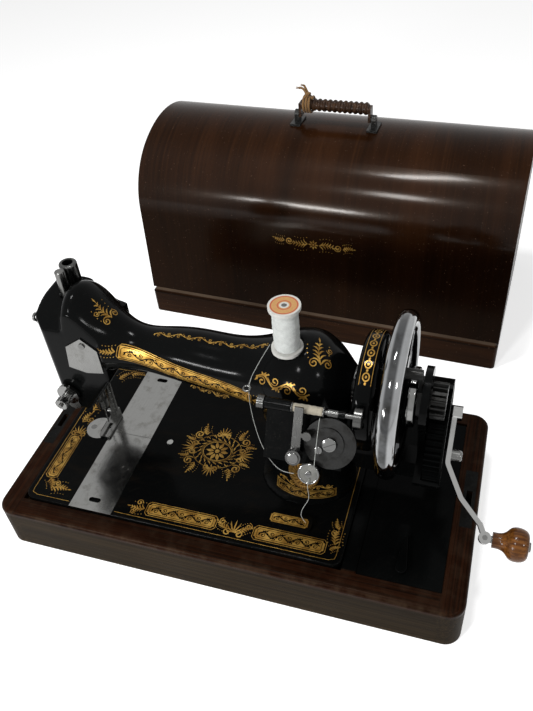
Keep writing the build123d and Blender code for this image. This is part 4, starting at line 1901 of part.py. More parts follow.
# Loose thread
THREAD_FEED = [
    (40.0, -12.0, 224.0), (36.0, -17.0, 217.5), (32.0, -24.5, 210.5), (28.0, -34.5, 203.0),
    (27.6, -39.5, 191.0), (29.5, -43.5, 180.0), (34.0, -50.5, 168.0), (42.0, -60.5, 157.0),
    (53.0, -70.5, 149.8), (64.5, -77.5, 149.0), (75.0, -80.5, 154.5),
]
THREAD_TAIL = [
    (89, -86.56, 159.36), (89, -89.16, 160.86), (89.2, -92.2, 159.0), (89.6, -93.0, 153.0),
    (90.0, -92.3, 146.0), (88.5, -91.0, 137.0), (84.5, -89.5, 127.0), (81.0, -88.0, 116.0),
    (80.0, -86.8, 106.5), (83.5, -86.2, 98.5),
]
THREAD_RUN = [
    (93, -81.56, 168.02), (93, -83.99, 169.42), (93, -84.73, 171.93), (93, -83.24, 175.92),
    (92.8, -78.46, 182.4), (92.5, -70.88, 190.73), (92.2, -64.3, 197.32), (92, -59.56, 200.93),
]


def main():
    os.makedirs("parts", exist_ok=True)
    nodes = {
        "base_frame": make_base_frame(),
        "base_bottom_board": make_bottom_board(),
        "compartment_divider": make_divider(),
        "catch_plates": make_catch_plates(),
        "catch_plate_screws": make_catch_screws(),
        "bed_hinge_brackets": make_hinge_brackets(),
        "accessory_lid": make_accessory_lid(),
        "bed_casting": make_bed(),
        "arm_casting": make_arm_casting(),
        "face_plate": make_face_plate(),
        "inspection_plate": make_inspection_plate(),
        "cover_screws": make_cover_screws(),
        "needle_plate": make_needle_plate(),
        "pillar_badge": make_badge(),
        "spool_pin": make_spool_pin(),
        "arm_thread_guide": make_thread_guide(),
        "shaft_bushes": make_bushes(),
        "tension_post": make_tension_post(),
        "tension_discs": make_tension_discs(),
        "tension_spring": make_tension_spring(),
        "tension_nut": make_tension_nut(),
        "crank_bracket": make_crank_bracket(),
        "main_shaft": make_main_shaft(),
        "handwheel": make_handwheel(),
        "drive_pinion": make_pinion(),
        "needle_bar_cam": make_needle_cam(),
        "stop_motion_knob": make_stop_knob(),
        "crank_gear": make_crank_gear(),
        "crank_arm": make_crank_arm(),
        "crank_latch": make_latch(),
        "handle_spindle": make_handle_spindle(),
        "crank_handle": make_crank_handle(),
        "needle_bar": make_needle_bar(),
        "needle_clamp": make_needle_clamp(),
        "needle": make_needle(),
        "take_up_lever": make_take_up(),
        "presser_bar": make_presser_bar(),
        "presser_foot": make_presser_foot(),
        "presser_lifter": make_lifter(),
        "pressure_screw": make_pressure_screw(),
        "thread_spool": make_spool(),
        "spool_winding": make_spool_winding(),
        "winder_frame": make_winder_frame(),
        "winder_spindle": make_winder_spindle(),
        "wound_bobbin": make_wound_bobbin(),
        "winder_cam_gear": make_winder_gear(),
        "winder_guide_lever": make_guide_lever(),
        "front_slide_plate": make_slide_plate(True),
        "rear_slide_plate": make_slide_plate(False),
        "shuttle_lever": make_shuttle_lever(),
        "shuttle": make_shuttle(),
        "feed_bar": make_feed_bar(),
        "lid_shell": make_lid_shell(),
        "lid_ends": make_lid_ends(),
        "lid_skirt": make_lid_skirt(),
        "lid_handle_brackets": make_lid_brackets(),
        "lid_handle": make_lid_handle(),
        "handle_tie": make_handle_tie(),
        "thread_feed": cord(THREAD_FEED, "thread feed"),
        "thread_tail": cord(THREAD_TAIL, "thread tail") + cord(THREAD_RUN, "thread run"),
    }
    for name, solid in nodes.items():
        export_step(solid, os.path.join("parts", name + ".step"))


main()
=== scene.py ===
from math import atan2, cos, pi, radians, sin

import bpy
from mathutils import Matrix, Vector


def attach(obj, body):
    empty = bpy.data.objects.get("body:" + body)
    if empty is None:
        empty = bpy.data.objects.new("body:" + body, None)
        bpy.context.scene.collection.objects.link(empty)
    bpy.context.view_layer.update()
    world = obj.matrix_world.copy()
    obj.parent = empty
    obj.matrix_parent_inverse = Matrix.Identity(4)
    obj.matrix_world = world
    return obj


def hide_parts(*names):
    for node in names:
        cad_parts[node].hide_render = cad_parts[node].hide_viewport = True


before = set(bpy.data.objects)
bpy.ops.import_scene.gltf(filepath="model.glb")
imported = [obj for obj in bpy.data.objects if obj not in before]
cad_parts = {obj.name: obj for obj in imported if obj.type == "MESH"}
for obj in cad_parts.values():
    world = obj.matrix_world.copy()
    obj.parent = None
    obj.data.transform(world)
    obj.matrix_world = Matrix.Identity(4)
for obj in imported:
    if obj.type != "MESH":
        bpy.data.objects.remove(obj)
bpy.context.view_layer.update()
scene = bpy.context.scene
scene.view_settings.view_transform = "Standard"

# Sizes and places in millimetres, as the part's source gives them
MM = 0.001
BED_TOP = 54.0
PAD_TOP = 57.0
PLUG_X, PLUG_Y, PLUG_RADIUS = -84.0, 2.0, 3.1
WHEEL_X = 142.0
RIM_MIDDLE, RIM_INSIDE, RIM_HALF_WIDTH = 62.0, 53.6, 12.6
SHAFT_Z = 178.0
PULLEY_MIDDLE, PULLEY_RADIUS = 120.5, 50.0
SPOOL_X, SPOOL_Y = 53.0, -8.0
SPOOL_SEAT, SPOOL_TOP, SPOOL_FLANGE = 218.25, 263.25, 3.3
BADGE_X, BADGE_Z = 67.0, 92.0
BADGE_HALF_WIDTH, BADGE_HALF_HEIGHT = 14.5, 18.0
THREAD_DIAMETER = 0.5
BOBBIN_START, BOBBIN_END = 68.5, 94.5
BOBBIN_Y, BOBBIN_Z = -53.566, 201.514
BOBBIN_END_RADIUS, BOBBIN_CORE_RADIUS = 4.4, 2.8
WINDER_GEAR = (101.0, -65.566, 180.729)
WINDER_DISC = (88.0, -83.26, 162.08)
WINDER_STUD = (101.0, -69.9, 183.2)
WINDER_TILT = 60.0
LID_LEDGE = 36.0
TIE_PLACE = (-25.6, 359.45, 251.43)
TIE_TURN = -2.8

# The photograph's viewpoint: millimetres; azimuth, elevation and roll in degrees
CAMERA_PLACE = (196.56, -420.49, 616.81)
CAMERA_TURN = (21.4747, 42.7602, -6.2318)
CAMERA_LENS, CAMERA_SENSOR = 37.343, 36.0

# The room as light and what is added where it is seen
ROOM_LIGHT, ROOM_SEEN = 0.18, 0.82
# The floor: size and height in metres, glow and paint
FLOOR_SIZE, FLOOR_HEIGHT = 8.0, -0.0008
FLOOR_GLOW = 0.64
FLOOR_PAINT = (0.82, 0.82, 0.82, 1.0)
# Lamps: name, place and aim in metres, width, height and power
LAMPS = (
    ("front_lamp", (-0.22, -0.79, 1.35), (0.0, 0.10, 0.10), 0.15, 0.15, 5.2),
    ("low_lamp", (-0.48, -1.01, 0.49), (0.0, 0.26, 0.17), 0.34, 0.08, 10.0),
    ("top_lamp", (-0.08, 0.11, 1.58), (0.05, 0.25, 0.20), 0.08, 0.30, 9.0),
    ("right_lamp", (1.11, -0.52, 1.02), (0.05, 0.0, 0.12), 0.12, 0.12, 3.0),
)

# Routes of the loose threads
THREAD_FEED = [
    (40.0, -12.0, 224.0), (36.0, -17.0, 217.5), (32.0, -24.5, 210.5), (28.0, -34.5, 203.0),
    (27.6, -39.5, 191.0), (29.5, -43.5, 180.0), (34.0, -50.5, 168.0), (42.0, -60.5, 157.0),
    (53.0, -70.5, 149.8), (64.5, -77.5, 149.0), (75.0, -80.5, 154.5),
]
THREAD_TAIL = [
    (89, -86.56, 159.36), (89, -89.16, 160.86), (89.2, -92.2, 159.0), (89.6, -93.0, 153.0),
    (90.0, -92.3, 146.0), (88.5, -91.0, 137.0), (84.5, -89.5, 127.0), (81.0, -88.0, 116.0),
    (80.0, -86.8, 106.5), (83.5, -86.2, 98.5),
]
THREAD_RUN = [
    (93, -81.56, 168.02), (93, -83.99, 169.42), (93, -84.73, 171.93), (93, -83.24, 175.92),
    (92.8, -78.46, 182.4), (92.5, -70.88, 190.73), (92.2, -64.3, 197.32), (92, -59.56, 200.93),
]

# The lace on the carrying handle, about the handle's own middle
LACE_KNOT = [
    (-4.0, -5.0, 8.5), (-1.5, -1.0, 11.5), (1.5, 2.5, 10.8), (2.0, 0.0, 13.0), (-1.0, -2.8, 12.6),
    (-3.2, 0.2, 11.4), (-1.6, 3.4, 10.8), (1.4, 0.6, 12.2), (0.2, -3.6, 11.2),
]
LACE_ENDS = (
    [(0, -2, 11.8), (-2.5, -1, 13.6), (-5, 0.5, 16.6), (-8.2, 1, 18.2), (-11, 2, 17.2)],
    [(0.5, 0.5, 11.8), (-2.0, 2.0, 14.2), (-3.6, 2.6, 17.4), (-5.8, 3.6, 20.0)],
)


# Selecting, adding and finishing
def use(piece):
    """Makes one object the only selected and active one."""
    bpy.ops.object.select_all(action="DESELECT")
    piece.select_set(True)
    bpy.context.view_layer.objects.active = piece


def set_all(thing, settings):
    """Gives a thing its settings."""
    for key, value in settings.items():
        setattr(thing, key, value)


def put_in_scene(name, data):
    """A new object for some data."""
    made = bpy.data.objects.new(name, data)
    scene.collection.objects.link(made)
    return made


def add_shape(operator, name, **settings):
    """One of Blender's own mesh shapes."""
    bpy.ops.object.select_all(action="DESELECT")
    operator(**settings)
    made = bpy.context.object
    made.name = name
    return made


def modify(piece, kind, **settings):
    """Adds a modifier and applies it."""
    use(piece)
    modifier = piece.modifiers.new(kind.lower(), kind)
    set_all(modifier, settings)
    bpy.ops.object.modifier_apply(modifier=modifier.name)


def settle(piece, matrix):
    """Puts a piece in its place and leaves its object at the origin."""
    use(piece)
    piece.matrix_world = matrix
    bpy.context.view_layer.update()
    bpy.ops.object.transform_apply(location=True, rotation=True, scale=True)


def as_mesh(piece):
    """Turns a curve into a mesh."""
    use(piece)
    bpy.ops.object.convert(target="MESH")
    return piece


def join(first, others):
    """Makes one piece of several."""
    use(first)
    for other in others:
        other.select_set(True)
    bpy.ops.object.join()


def smooth(piece, angle):
    """Smooth shading; edges sharper than the angle in degrees stay sharp."""
    use(piece)
    bpy.ops.object.shade_smooth_by_angle(angle=radians(angle))


def carry(piece, body, slot, finish, *nodes):
    """A finished piece: what it rides on, its finish, and the nodes that it stands for."""
    piece.data.materials.clear()
    piece.data.materials.append(finish)
    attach(piece, body)
    if nodes:
        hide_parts(*nodes)
    return piece


def new_curve(name, lines, fine, **settings):
    """An object of smooth lines, or straight-sided ones if fine is 0.

    A line is (points, closed), and a point is x, y and z in millimetres and a width.
    """
    curve = bpy.data.curves.new(name, "CURVE")
    set_all(curve, settings)
    for points, closed in lines:
        spline = curve.splines.new("NURBS" if fine else "POLY")
        spline.points.add(len(points) - 1)
        for knot, (x, y, z, width) in zip(spline.points, points):
            knot.co = (x * MM, y * MM, z * MM, 1.0)
            knot.radius = width
        spline.use_cyclic_u = closed
        if fine:
            spline.order_u = 3
            spline.use_endpoint_u = not closed
            spline.resolution_u = fine
    return put_in_scene(name, curve)


def wire_curve(name, points, radius, sides=2, fine=8):
    """A round wire or thread along a smooth line."""
    lines = [([(*point, 1.0) for point in points], False)]
    return new_curve(
        name, lines, fine, dimensions="3D", bevel_depth=radius * MM, bevel_resolution=sides,
        use_fill_caps=True,
    )


# Camera, floor and light
def make_camera():
    """The photograph's own viewpoint."""
    azimuth, elevation, roll = (radians(angle) for angle in CAMERA_TURN)
    data = bpy.data.cameras.new("camera")
    data.lens = CAMERA_LENS
    data.sensor_width = CAMERA_SENSOR
    data.clip_start, data.clip_end = 0.02, 20.0
    turn = Matrix.Rotation(azimuth, 4, "Z") @ Matrix.Rotation(pi / 2 - elevation, 4, "X")
    place = Matrix.Translation(Vector(CAMERA_PLACE) * MM)
    scene.camera = put_in_scene("camera", data)
    scene.camera.matrix_world = place @ turn @ Matrix.Rotation(roll, 4, "Z")


def make_lamp(name, place, aim, wide, tall, power):
    """A small soft lamp."""
    data = bpy.data.lights.new(name, "AREA")
    data.shape = "RECTANGLE"
    data.size = wide
    data.size_y = tall
    data.energy = power
    lamp = put_in_scene(name, data)
    lamp.location = place
    lamp.rotation_mode = "QUATERNION"
    lamp.rotation_quaternion = (Vector(aim) - Vector(place)).to_track_quat("-Z", "Y")


def math_node(operation, swapped=False):
    """A method of Wire that adds one Math node."""

    def method(self, other=0.0):
        pair = (other, self) if swapped else (self, other)
        return self.make("Math", dict(enumerate(pair)), operation=operation)

    return method


class Wire:
    """A socket. Sums, products and comparisons of wires add Math nodes."""

    __add__, __radd__ = math_node("ADD"), math_node("ADD", True)
    __sub__, __rsub__ = math_node("SUBTRACT"), math_node("SUBTRACT", True)
    __mul__, __rmul__ = math_node("MULTIPLY"), math_node("MULTIPLY", True)
    __truediv__, __rtruediv__ = math_node("DIVIDE"), math_node("DIVIDE", True)
    __pow__, __mod__ = math_node("POWER"), math_node("FLOORED_MODULO")
    __abs__, least = math_node("ABSOLUTE"), math_node("MINIMUM")
    sine, cosine, turn_from = math_node("SINE"), math_node("COSINE"), math_node("ARCTAN2")

    def __init__(self, tree, socket=None):
        self.tree = tree
        self.socket = socket

    def make(self, kind, sockets=None, out=0, **settings):
        """Adds a node: its settings first, then the values or links of its sockets."""
        node = self.tree.nodes.new("ShaderNode" + kind)
        set_all(node, settings)
        for key, value in (sockets or {}).items():
            if isinstance(value, Wire):
                self.tree.links.new(value.socket, node.inputs[key])
            else:
                node.inputs[key].default_value = value
        return Wire(self.tree, node.outputs[out])

    def step(self, low, high):
        """Goes smoothly from 0 at low to 1 at high; low may be the larger."""
        sockets = {"Value": self, "From Min": low, "From Max": high}
        return self.make("MapRange", sockets, interpolation_type="SMOOTHSTEP")

    def hill(self, middle, half, soft):
        """1 within half of the middle, 0 beyond it, with a soft edge."""
        return 1 - abs(self - middle).step(half, half + soft)


def ray_seen(tree):
    """1 for camera, glossy and transmission rays."""
    rays = Wire(tree).make("LightPath").socket.node.outputs
    kinds = ("Is Camera Ray", "Is Glossy Ray", "Is Transmission Ray")
    camera, glossy, through = (Wire(tree, rays[kind]) for kind in kinds)
    return (camera + glossy + through).least(1.0)


def make_world():
    """A white room: white where the camera or a reflection looks, gentler as light."""
    world = bpy.data.worlds.new("room")
    scene.world = world
    world.use_nodes = True
    tree = world.node_tree
    strength = ROOM_LIGHT + ray_seen(tree) * ROOM_SEEN
    sockets = tree.nodes["Background"].inputs
    sockets["Color"].default_value = (1.0, 1.0, 1.0, 1.0)
    tree.links.new(strength.socket, sockets["Strength"])


def make_floor():
    """A wide pale floor that takes the object's shadow."""
    operator = bpy.ops.mesh.primitive_plane_add
    floor = add_shape(operator, "floor", size=FLOOR_SIZE, location=(0, 0, FLOOR_HEIGHT))
    material = bpy.data.materials.new("pale_floor")
    material.use_nodes = True
    tree = material.node_tree
    tree.nodes.remove(tree.nodes["Principled BSDF"])
    start = Wire(tree)
    paint = start.make("BsdfDiffuse", {"Color": FLOOR_PAINT})
    glow = start.make("Emission", {"Strength": ray_seen(tree) * FLOOR_GLOW})
    both = start.make("AddShader", {0: paint, 1: glow})
    tree.links.new(both.socket, tree.nodes["Material Output"].inputs["Surface"])
    floor.data.materials.append(material)


# Finishes
BLACK = (0.0018, 0.0020, 0.0020)
DUST = (0.11, 0.10, 0.085)
WARM = (1.0, 0.80, 0.62)
LID_DARK = (0.0100, 0.0034, 0.0011)
LID_MIDDLE = (0.027, 0.0094, 0.0031)
LID_LIGHT = (0.046, 0.0175, 0.0062)
# Steps between the low and the high parts of a noise
TONES = (0.3, 0.7)
BLOTCHES = (0.4, 0.7)
SMUDGES = (0.45, 0.75)
PORES = (0.60, 0.72)
# The gold chain on the belt pulley: two transfers, each about a middle turn in radians
CHAIN_PITCH, CHAIN_RING = 10.47, 2.5
DECAL_MIDDLE, DECAL_HALF = 1.48, 0.802


class Finish:
    """A material whose patterns read Object coordinates; x, y and z are in millimetres."""

    def __init__(self, name):
        self.material = bpy.data.materials.new(name)
        self.material.use_nodes = True
        self.tree = self.material.node_tree
        self.start = Wire(self.tree)
        self.place = self.start.make("TexCoord", out="Object")
        parts = self.start.make("SeparateXYZ", {0: self.place}).socket.node.outputs
        self.x, self.y, self.z = (Wire(self.tree, part) * 1000 for part in parts)

    def noise(self, size, detail=3.0, rough=0.5, turn=(0.0, 0.0, 0.0)):
        """Noise whose lumps are that many millimetres wide along each axis."""
        sizes = size if isinstance(size, tuple) else (size, size, size)
        scale = tuple(1000 / each for each in sizes)
        vector = self.start.make("Mapping", {"Vector": self.place, "Rotation": turn})
        vector = self.start.make("Mapping", {"Vector": vector, "Scale": scale})
        sockets = {"Vector": vector, "Scale": 1.0, "Detail": detail, "Roughness": rough}
        return self.start.make("TexNoise", sockets)

    def mix(self, share, first, second):
        """From the first colour to the second."""
        sockets = {0: share}
        for key, colour in ((6, first), (7, second)):
            sockets[key] = colour if isinstance(colour, Wire) else (*colour, 1.0)
        return self.start.make("Mix", sockets, 2, data_type="RGBA")

    def far(self, first, *others):
        """How far off a point is, from its distances along each axis."""
        square = first * first
        for other in others:
            square = square + other * other
        return square ** 0.5

    def put(self, **values):
        """Sets or links the shader's sockets; an underscore stands for a space."""
        for key, value in values.items():
            socket = self.tree.nodes["Principled BSDF"].inputs[key.replace("_", " ")]
            if isinstance(value, Wire):
                self.tree.links.new(value.socket, socket)
            else:
                socket.default_value = (*value, 1.0) if isinstance(value, tuple) else value

    def done(self, colour, rough, relief, depth, metal=0.0, shine=0.5, **others):
        """The material, with a relief that many millimetres deep."""
        sockets = {"Strength": 1.0, "Distance": depth * MM, "Height": relief}
        self.put(
            Base_Color=colour, Roughness=rough, Metallic=metal, Specular_IOR_Level=shine,
            Normal=self.start.make("Bump", sockets), **others,
        )
        return self.material


def shade(colour, amount):
    """A colour made darker or lighter."""
    return tuple(part * amount for part in colour)


def japan_black(name, dust, scratches, gloss=0.08, shine=0.045):
    """Baked black enamel with dust, haze and fine scratches."""
    look = Finish(name)
    cloud = look.noise(26, 4)
    specks = look.noise(0.8, 1).step(0.69, 0.78)
    fine = look.noise((0.35, 22, 22), 2, 0.6, (0, 0, 0.5)).step(0.64, 0.74)
    cross = look.noise((18, 0.4, 18), 2, 0.6, (0, 0, 0.3)).step(0.67, 0.76)
    haze = specks * dust + (fine + cross) * scratches
    colour = look.mix(haze.least(1.0), BLACK, DUST)
    rough = gloss + cloud * 0.10 + haze * 0.25
    return look.done(colour, rough, look.noise(2.2, 2), 0.012, shine=shine)


def bed_black():
    """The bed's enamel: scratched, browned by hands and cloth, with a steel plug in it."""
    look = Finish("bed_black")
    cloud = look.noise(30, 4)
    rubbed = look.noise((45, 16, 40), 4, 0.6).step(0.5, 0.8)
    specks = look.noise(0.7, 1).step(0.68, 0.78)
    fine = look.noise((0.4, 25, 25), 2, 0.6, (0, 0, 0.9)).step(0.64, 0.75)
    chips = look.noise(2.4, 3, 0.7).step(0.69, 0.72) * (0 - look.y).step(70, 90)
    haze = specks * 0.18 + fine * 0.12 + chips * 0.6
    plug = look.far(look.x - PLUG_X, look.y - PLUG_Y).step(PLUG_RADIUS + 0.2, PLUG_RADIUS)
    worn = look.mix(rubbed * 0.6, BLACK, (0.0065, 0.0045, 0.003))
    enamel = look.mix(haze.least(1.0), worn, (0.07, 0.058, 0.042))
    colour = look.mix(plug, enamel, (0.30, 0.30, 0.29))
    rough = 0.08 + cloud * 0.10 + rubbed * 0.10 + haze * 0.25
    relief = look.noise(1.8, 2) - chips * 0.6
    return look.done(colour, rough, relief, 0.015, plug, 0.025)


def gilt(name, bright=1.0, metal=0.35):
    """Old gold transfer: toned, rubbed thin in places."""
    look = Finish(name)
    tone = look.noise(7, 3).step(0.35, 0.65)
    worn = look.noise(2.2, 4, 0.65).step(0.54, 0.74)
    low, high = shade((0.21, 0.108, 0.017), bright), shade((0.38, 0.225, 0.048), bright)
    colour = look.mix(worn * 0.6, look.mix(tone, low, high), (0.045, 0.025, 0.008))
    rough = 0.34 + worn * 0.2
    return look.done(colour, rough, look.noise(0.6, 2), 0.02, metal - worn * 0.25, 0.15)


def brushed_steel(name, along, tone, stains, gloss=0.18):
    """Bright steel with tool marks along one axis, scratches and old stains."""
    look = Finish(name)
    marks = look.noise(tuple(30.0 if axis == along else 0.35 for axis in range(3)), 3, 0.6)
    cuts = look.noise((0.3, 20, 20), 2, 0.6, (0.2, 0.3, 0.7)).step(0.64, 0.72)
    blots = look.noise(11, 5, 0.65).step(0.48, 0.72)
    pits = look.noise(0.9, 2).step(0.70, 0.78)
    dirt = (blots * stains + pits * 0.5).least(1.0)
    clear = look.mix(marks, shade((0.82, 0.82, 0.80), tone), shade((1.12, 1.12, 1.08), tone))
    colour = look.mix(dirt, clear, shade((0.42, 0.40, 0.35), tone))
    rough = gloss + marks * 0.12 + dirt * 0.22
    return look.done(colour, rough, marks - cuts * 0.5 - pits * 0.6, 0.02, 1.0)


def polished_nickel(name, tone):
    """Plated, polished metal with smudges and pin-holes."""
    look = Finish(name)
    smudge = look.noise(14, 4, 0.6).step(*SMUDGES)
    pits = look.noise(0.8, 2).step(0.72, 0.80)
    spots = (smudge * 0.2 + pits * 0.4).least(1.0)
    colour = look.mix(spots, shade((1.0, 1.0, 0.98), tone), shade((0.35, 0.32, 0.27), tone))
    rough = 0.07 + smudge * 0.12 + pits * 0.3
    return look.done(colour, rough, look.noise(5, 2) * 0.4 - pits, 0.015, 1.0)


def wheel_finish():
    """Handwheel: bright rim with a painted dark reflection band, black spokes and hub, gold chain
    round the belt pulley.
    """
    look = Finish("wheel_rim_and_enamel")
    up = look.z - SHAFT_Z
    far = look.far(look.y, up)
    in_width = abs(look.x - WHEEL_X).step(RIM_HALF_WIDTH + 0.4, RIM_HALF_WIDTH)
    rim = far.step(RIM_INSIDE, RIM_INSIDE + 0.6) * in_width
    turn = up.turn_from(look.y)
    off_middle = abs((turn - DECAL_MIDDLE + pi / 2) % pi - pi / 2)
    decal = off_middle.step(DECAL_HALF + 0.01, DECAL_HALF)
    arc = turn * PULLEY_RADIUS + 400
    across = look.x - PULLEY_MIDDLE
    half_pitch = CHAIN_PITCH / 2
    link = look.far((arc % CHAIN_PITCH - half_pitch) * 0.7874, across)
    between = look.far(((arc + half_pitch) % CHAIN_PITCH - half_pitch) * 0.7071, across)
    chain = link.hill(CHAIN_RING, 0.35, 0.25) + link.hill(0.0, 0.75, 0.3)
    chain = chain + between.hill(0.0, 0.7, 0.3) + abs(across).hill(4.6, 0.12, 0.2)
    rubbed = 1 - look.noise(3, 4, 0.6).step(0.56, 0.74) * 0.8
    on_pulley = far.step(PULLEY_RADIUS - 2.5, PULLEY_RADIUS - 1.5) * (1 - rim)
    gold_leaf = chain.least(1.0) * on_pulley * rubbed * decal
    smudge = look.noise(16, 4, 0.6).step(*SMUDGES)
    pits = look.noise(0.9, 2).step(0.70, 0.79)
    # painted dark reflection: a dark band round the rim, at one angle across its round section
    section = (far - RIM_MIDDLE).turn_from(WHEEL_X - look.x)
    band = section.hill(1.50, 0.26, 0.30) * (0.8 + smudge * 0.2)
    rim_with_painted_reflection = look.mix(band, (0.30, 0.305, 0.31), (0.028, 0.029, 0.030))
    bright = look.mix((smudge * 0.2 + pits * 0.7).least(1.0), rim_with_painted_reflection, (0.07, 0.065, 0.055))
    colour = look.mix(rim, look.mix(gold_leaf, BLACK, (0.30, 0.17, 0.036)), bright)
    rough = 0.05 + smudge * 0.08 + gold_leaf * 0.25
    metal = (rim + gold_leaf * 0.35).least(1.0)
    return look.done(colour, rough, look.noise(3, 2) * 0.5 - pits * rim, 0.015, metal, 0.04)


def winder_finish():
    """The winder's frame: black enamel, with its thread disc and stud in bright nickel."""
    look = Finish("winder_enamel")

    def near(place, reach):
        x, y, z = place
        return look.far(look.x - x, look.y - y, look.z - z).step(reach + 0.3, reach)

    bright = (near(WINDER_DISC, 9.4) + near(WINDER_STUD, 3.6)).least(1.0)
    dust = look.noise(0.8, 1).step(0.66, 0.78) * 0.25
    cloud = look.noise(9, 4, 0.6)
    plating = look.mix(cloud, (0.12, 0.12, 0.11), (0.30, 0.30, 0.28))
    colour = look.mix(bright, look.mix(dust, BLACK, DUST), plating)
    rough = 0.10 + cloud * 0.12
    return look.done(colour, rough, look.noise(2.2, 2), 0.012, bright, 0.045)


def badge_brass():
    """Stamped brass oval: beaded rim, a plain rosette and a ring of leaves."""
    look = Finish("badge_brass")
    wide = (look.x - BADGE_X) / BADGE_HALF_WIDTH
    tall = (look.z - BADGE_Z) / BADGE_HALF_HEIGHT
    far = look.far(wide, tall)
    turn = tall.turn_from(wide)
    beads = far.hill(0.91, 0.025, 0.03) * (turn * 46).cosine().step(-0.5, 0.5)
    leaves = far.hill(0.66, 0.07, 0.05) * (turn * 18 + far * 14).sine().step(-0.2, 0.4)
    lines = far.hill(0.82, 0.012, 0.02) + far.hill(0.52, 0.01, 0.02)
    petal_edge = far - 0.30 - (turn * 8).cosine() * 0.13
    petals = petal_edge.step(0.05, -0.03) * far.step(0.06, 0.10)
    relief = (beads + leaves + lines + petals).least(1.0)
    dull = look.noise(4, 4, 0.6).step(0.42, 0.72)
    low = look.mix(dull, (0.115, 0.058, 0.011), (0.06, 0.03, 0.008))
    colour = look.mix(relief, low, (0.33, 0.19, 0.045))
    return look.done(colour, 0.30 + dull * 0.2, relief, 0.35, 0.7)


def lid_finish(name, grain, gloss, wear, painted_shade_heights=None, ledge=None, polish=None):
    """The cover's varnished wood: figure along the grain's axes, pores and knocks.

    Painted shade darkens it towards the bottom, below the given heights; a ledge gets a painted
    highlight line over a painted shade line; it is shinier at the polish height.
    """
    look = Finish(name)

    def along(fine, length):
        return tuple(length if axis in grain else fine for axis in range(3))

    figure = look.noise(along(34.0, 420), 3, 0.55)
    streaks = look.noise(along(3.2, 190), 4, 0.6)
    pores = look.noise(along(0.55, 14), 2, 0.6).step(*PORES)
    cloud = look.noise(70, 4, 0.6)
    knocks = look.noise(5, 4, 0.7).step(0.67, 0.75)
    scrapes = look.noise((0.9, 40, 12), 3, 0.6, (0.2, 0.5, 0.9)).step(0.67, 0.76)
    body = look.mix(figure.step(*TONES), LID_DARK, LID_MIDDLE)
    body = look.mix(streaks.step(0.45, 0.85) * 0.5, body, LID_LIGHT)
    body = look.mix(pores * 0.7, body, shade(LID_DARK, 0.35))
    # painted shade: darker towards the bottom, below the given heights
    if painted_shade_heights:
        deep = (1 - look.z.step(*painted_shade_heights)) * (0.62 + cloud * 0.2)
        body = look.mix(deep, body, shade(LID_DARK, 0.3))
    # a painted shade line under the ledge and a painted highlight line along it
    if ledge:
        painted_shade_line = look.z.hill(ledge - 5.0, 0.7, 0.8) * 0.8
        rubbed = look.z.hill(ledge - 1.2, 0.9, 0.9) * (0.2 + cloud)
        body = look.mix(painted_shade_line, body, shade(LID_DARK, 0.2))
        body = look.mix(rubbed, body, (0.085, 0.060, 0.042))
    if polish:
        look.put(Coat_Weight=look.z.hill(*polish) * (0.10 + cloud * 0.12), Coat_Roughness=0.13)
    specks = look.noise(1.7, 1).step(0.73, 0.77)
    scuffs = ((knocks + scrapes) * wear + specks * 0.6).least(1.0)
    colour = look.mix(scuffs, body, tuple(part * 1.6 + 0.03 for part in LID_LIGHT))
    rough = gloss + cloud * 0.10 + scuffs * 0.25 + pores * 0.08
    relief = streaks * 0.2 - pores * 0.5 - knocks * 0.4
    return look.done(colour, rough, relief, 0.03, shine=0.045, Specular_Tint=WARM)


def base_wood():
    """The base's rails: grain along each rail, dull and handled, pale at rubbed edges."""
    look = Finish("base_wood")
    side = abs(look.x).step(198.0, 199.5)
    long_grain = look.noise((220, 1.8, 1.8), 4, 0.65)
    side_grain = look.noise((1.8, 220, 1.8), 4, 0.65)
    grain = long_grain * (1 - side) + side_grain * side
    long_pores = look.noise((14, 0.6, 0.6), 2).step(*PORES)
    side_pores = look.noise((0.6, 14, 0.6), 2).step(*PORES)
    pores = long_pores * (1 - side) + side_pores * side
    cloud = look.noise(60, 5, 0.6)
    knocks = look.noise(4.5, 4, 0.7).step(0.65, 0.74)
    upright = look.z.step(46.0, 43.0)
    rubbed = look.z.hill(48.0, 1.8, 2.0) * look.noise(12, 4, 0.6).step(*BLOTCHES)
    foot = look.z.step(9.0, 2.0) * look.noise(9, 4, 0.6).step(0.4, 0.65)
    tone = grain.step(0.3, 0.75)
    top = look.mix(tone, (0.0034, 0.0011, 0.0005), (0.0205, 0.0064, 0.0026))
    front = look.mix(tone, (0.0066, 0.0043, 0.0020), (0.0245, 0.0158, 0.0070))
    body = look.mix(pores * 0.6, look.mix(upright, top, front), (0.006, 0.004, 0.002))
    worn = (knocks * 0.10 + rubbed * 0.22 + foot * 0.30).least(1.0)
    colour = look.mix(worn, body, (0.085, 0.058, 0.036))
    rough = 0.22 + cloud * 0.16 + upright * 0.20 + worn * 0.2
    relief = grain * 0.3 - pores * 0.7 - knocks * 0.6
    return look.done(colour, rough, relief, 0.06, shine=0.03, Specular_Tint=WARM)


def turned_handle():
    """Amber polished wood, darker towards its ferrule end, with dark flecks."""
    look = Finish("handle_wood")
    grain = look.noise((60, 2.2, 2.2), 4, 0.6)
    flecks = look.noise((9, 0.6, 0.6), 2).step(*PORES)
    blotch = look.noise(9, 3, 0.6).step(*BLOTCHES)
    ferrule_end = look.x.step(240.0, 231.0)
    amber = look.mix(grain.step(*TONES), (0.060, 0.0185, 0.0036), (0.185, 0.070, 0.014))
    dark = (flecks * 0.6 + ferrule_end * 0.5 + blotch * 0.3).least(1.0)
    colour = look.mix(dark, amber, (0.028, 0.010, 0.003))
    relief = grain * 0.4 - flecks * 0.5
    return look.done(colour, 0.16 + blotch * 0.14, relief, 0.03, shine=0.16)


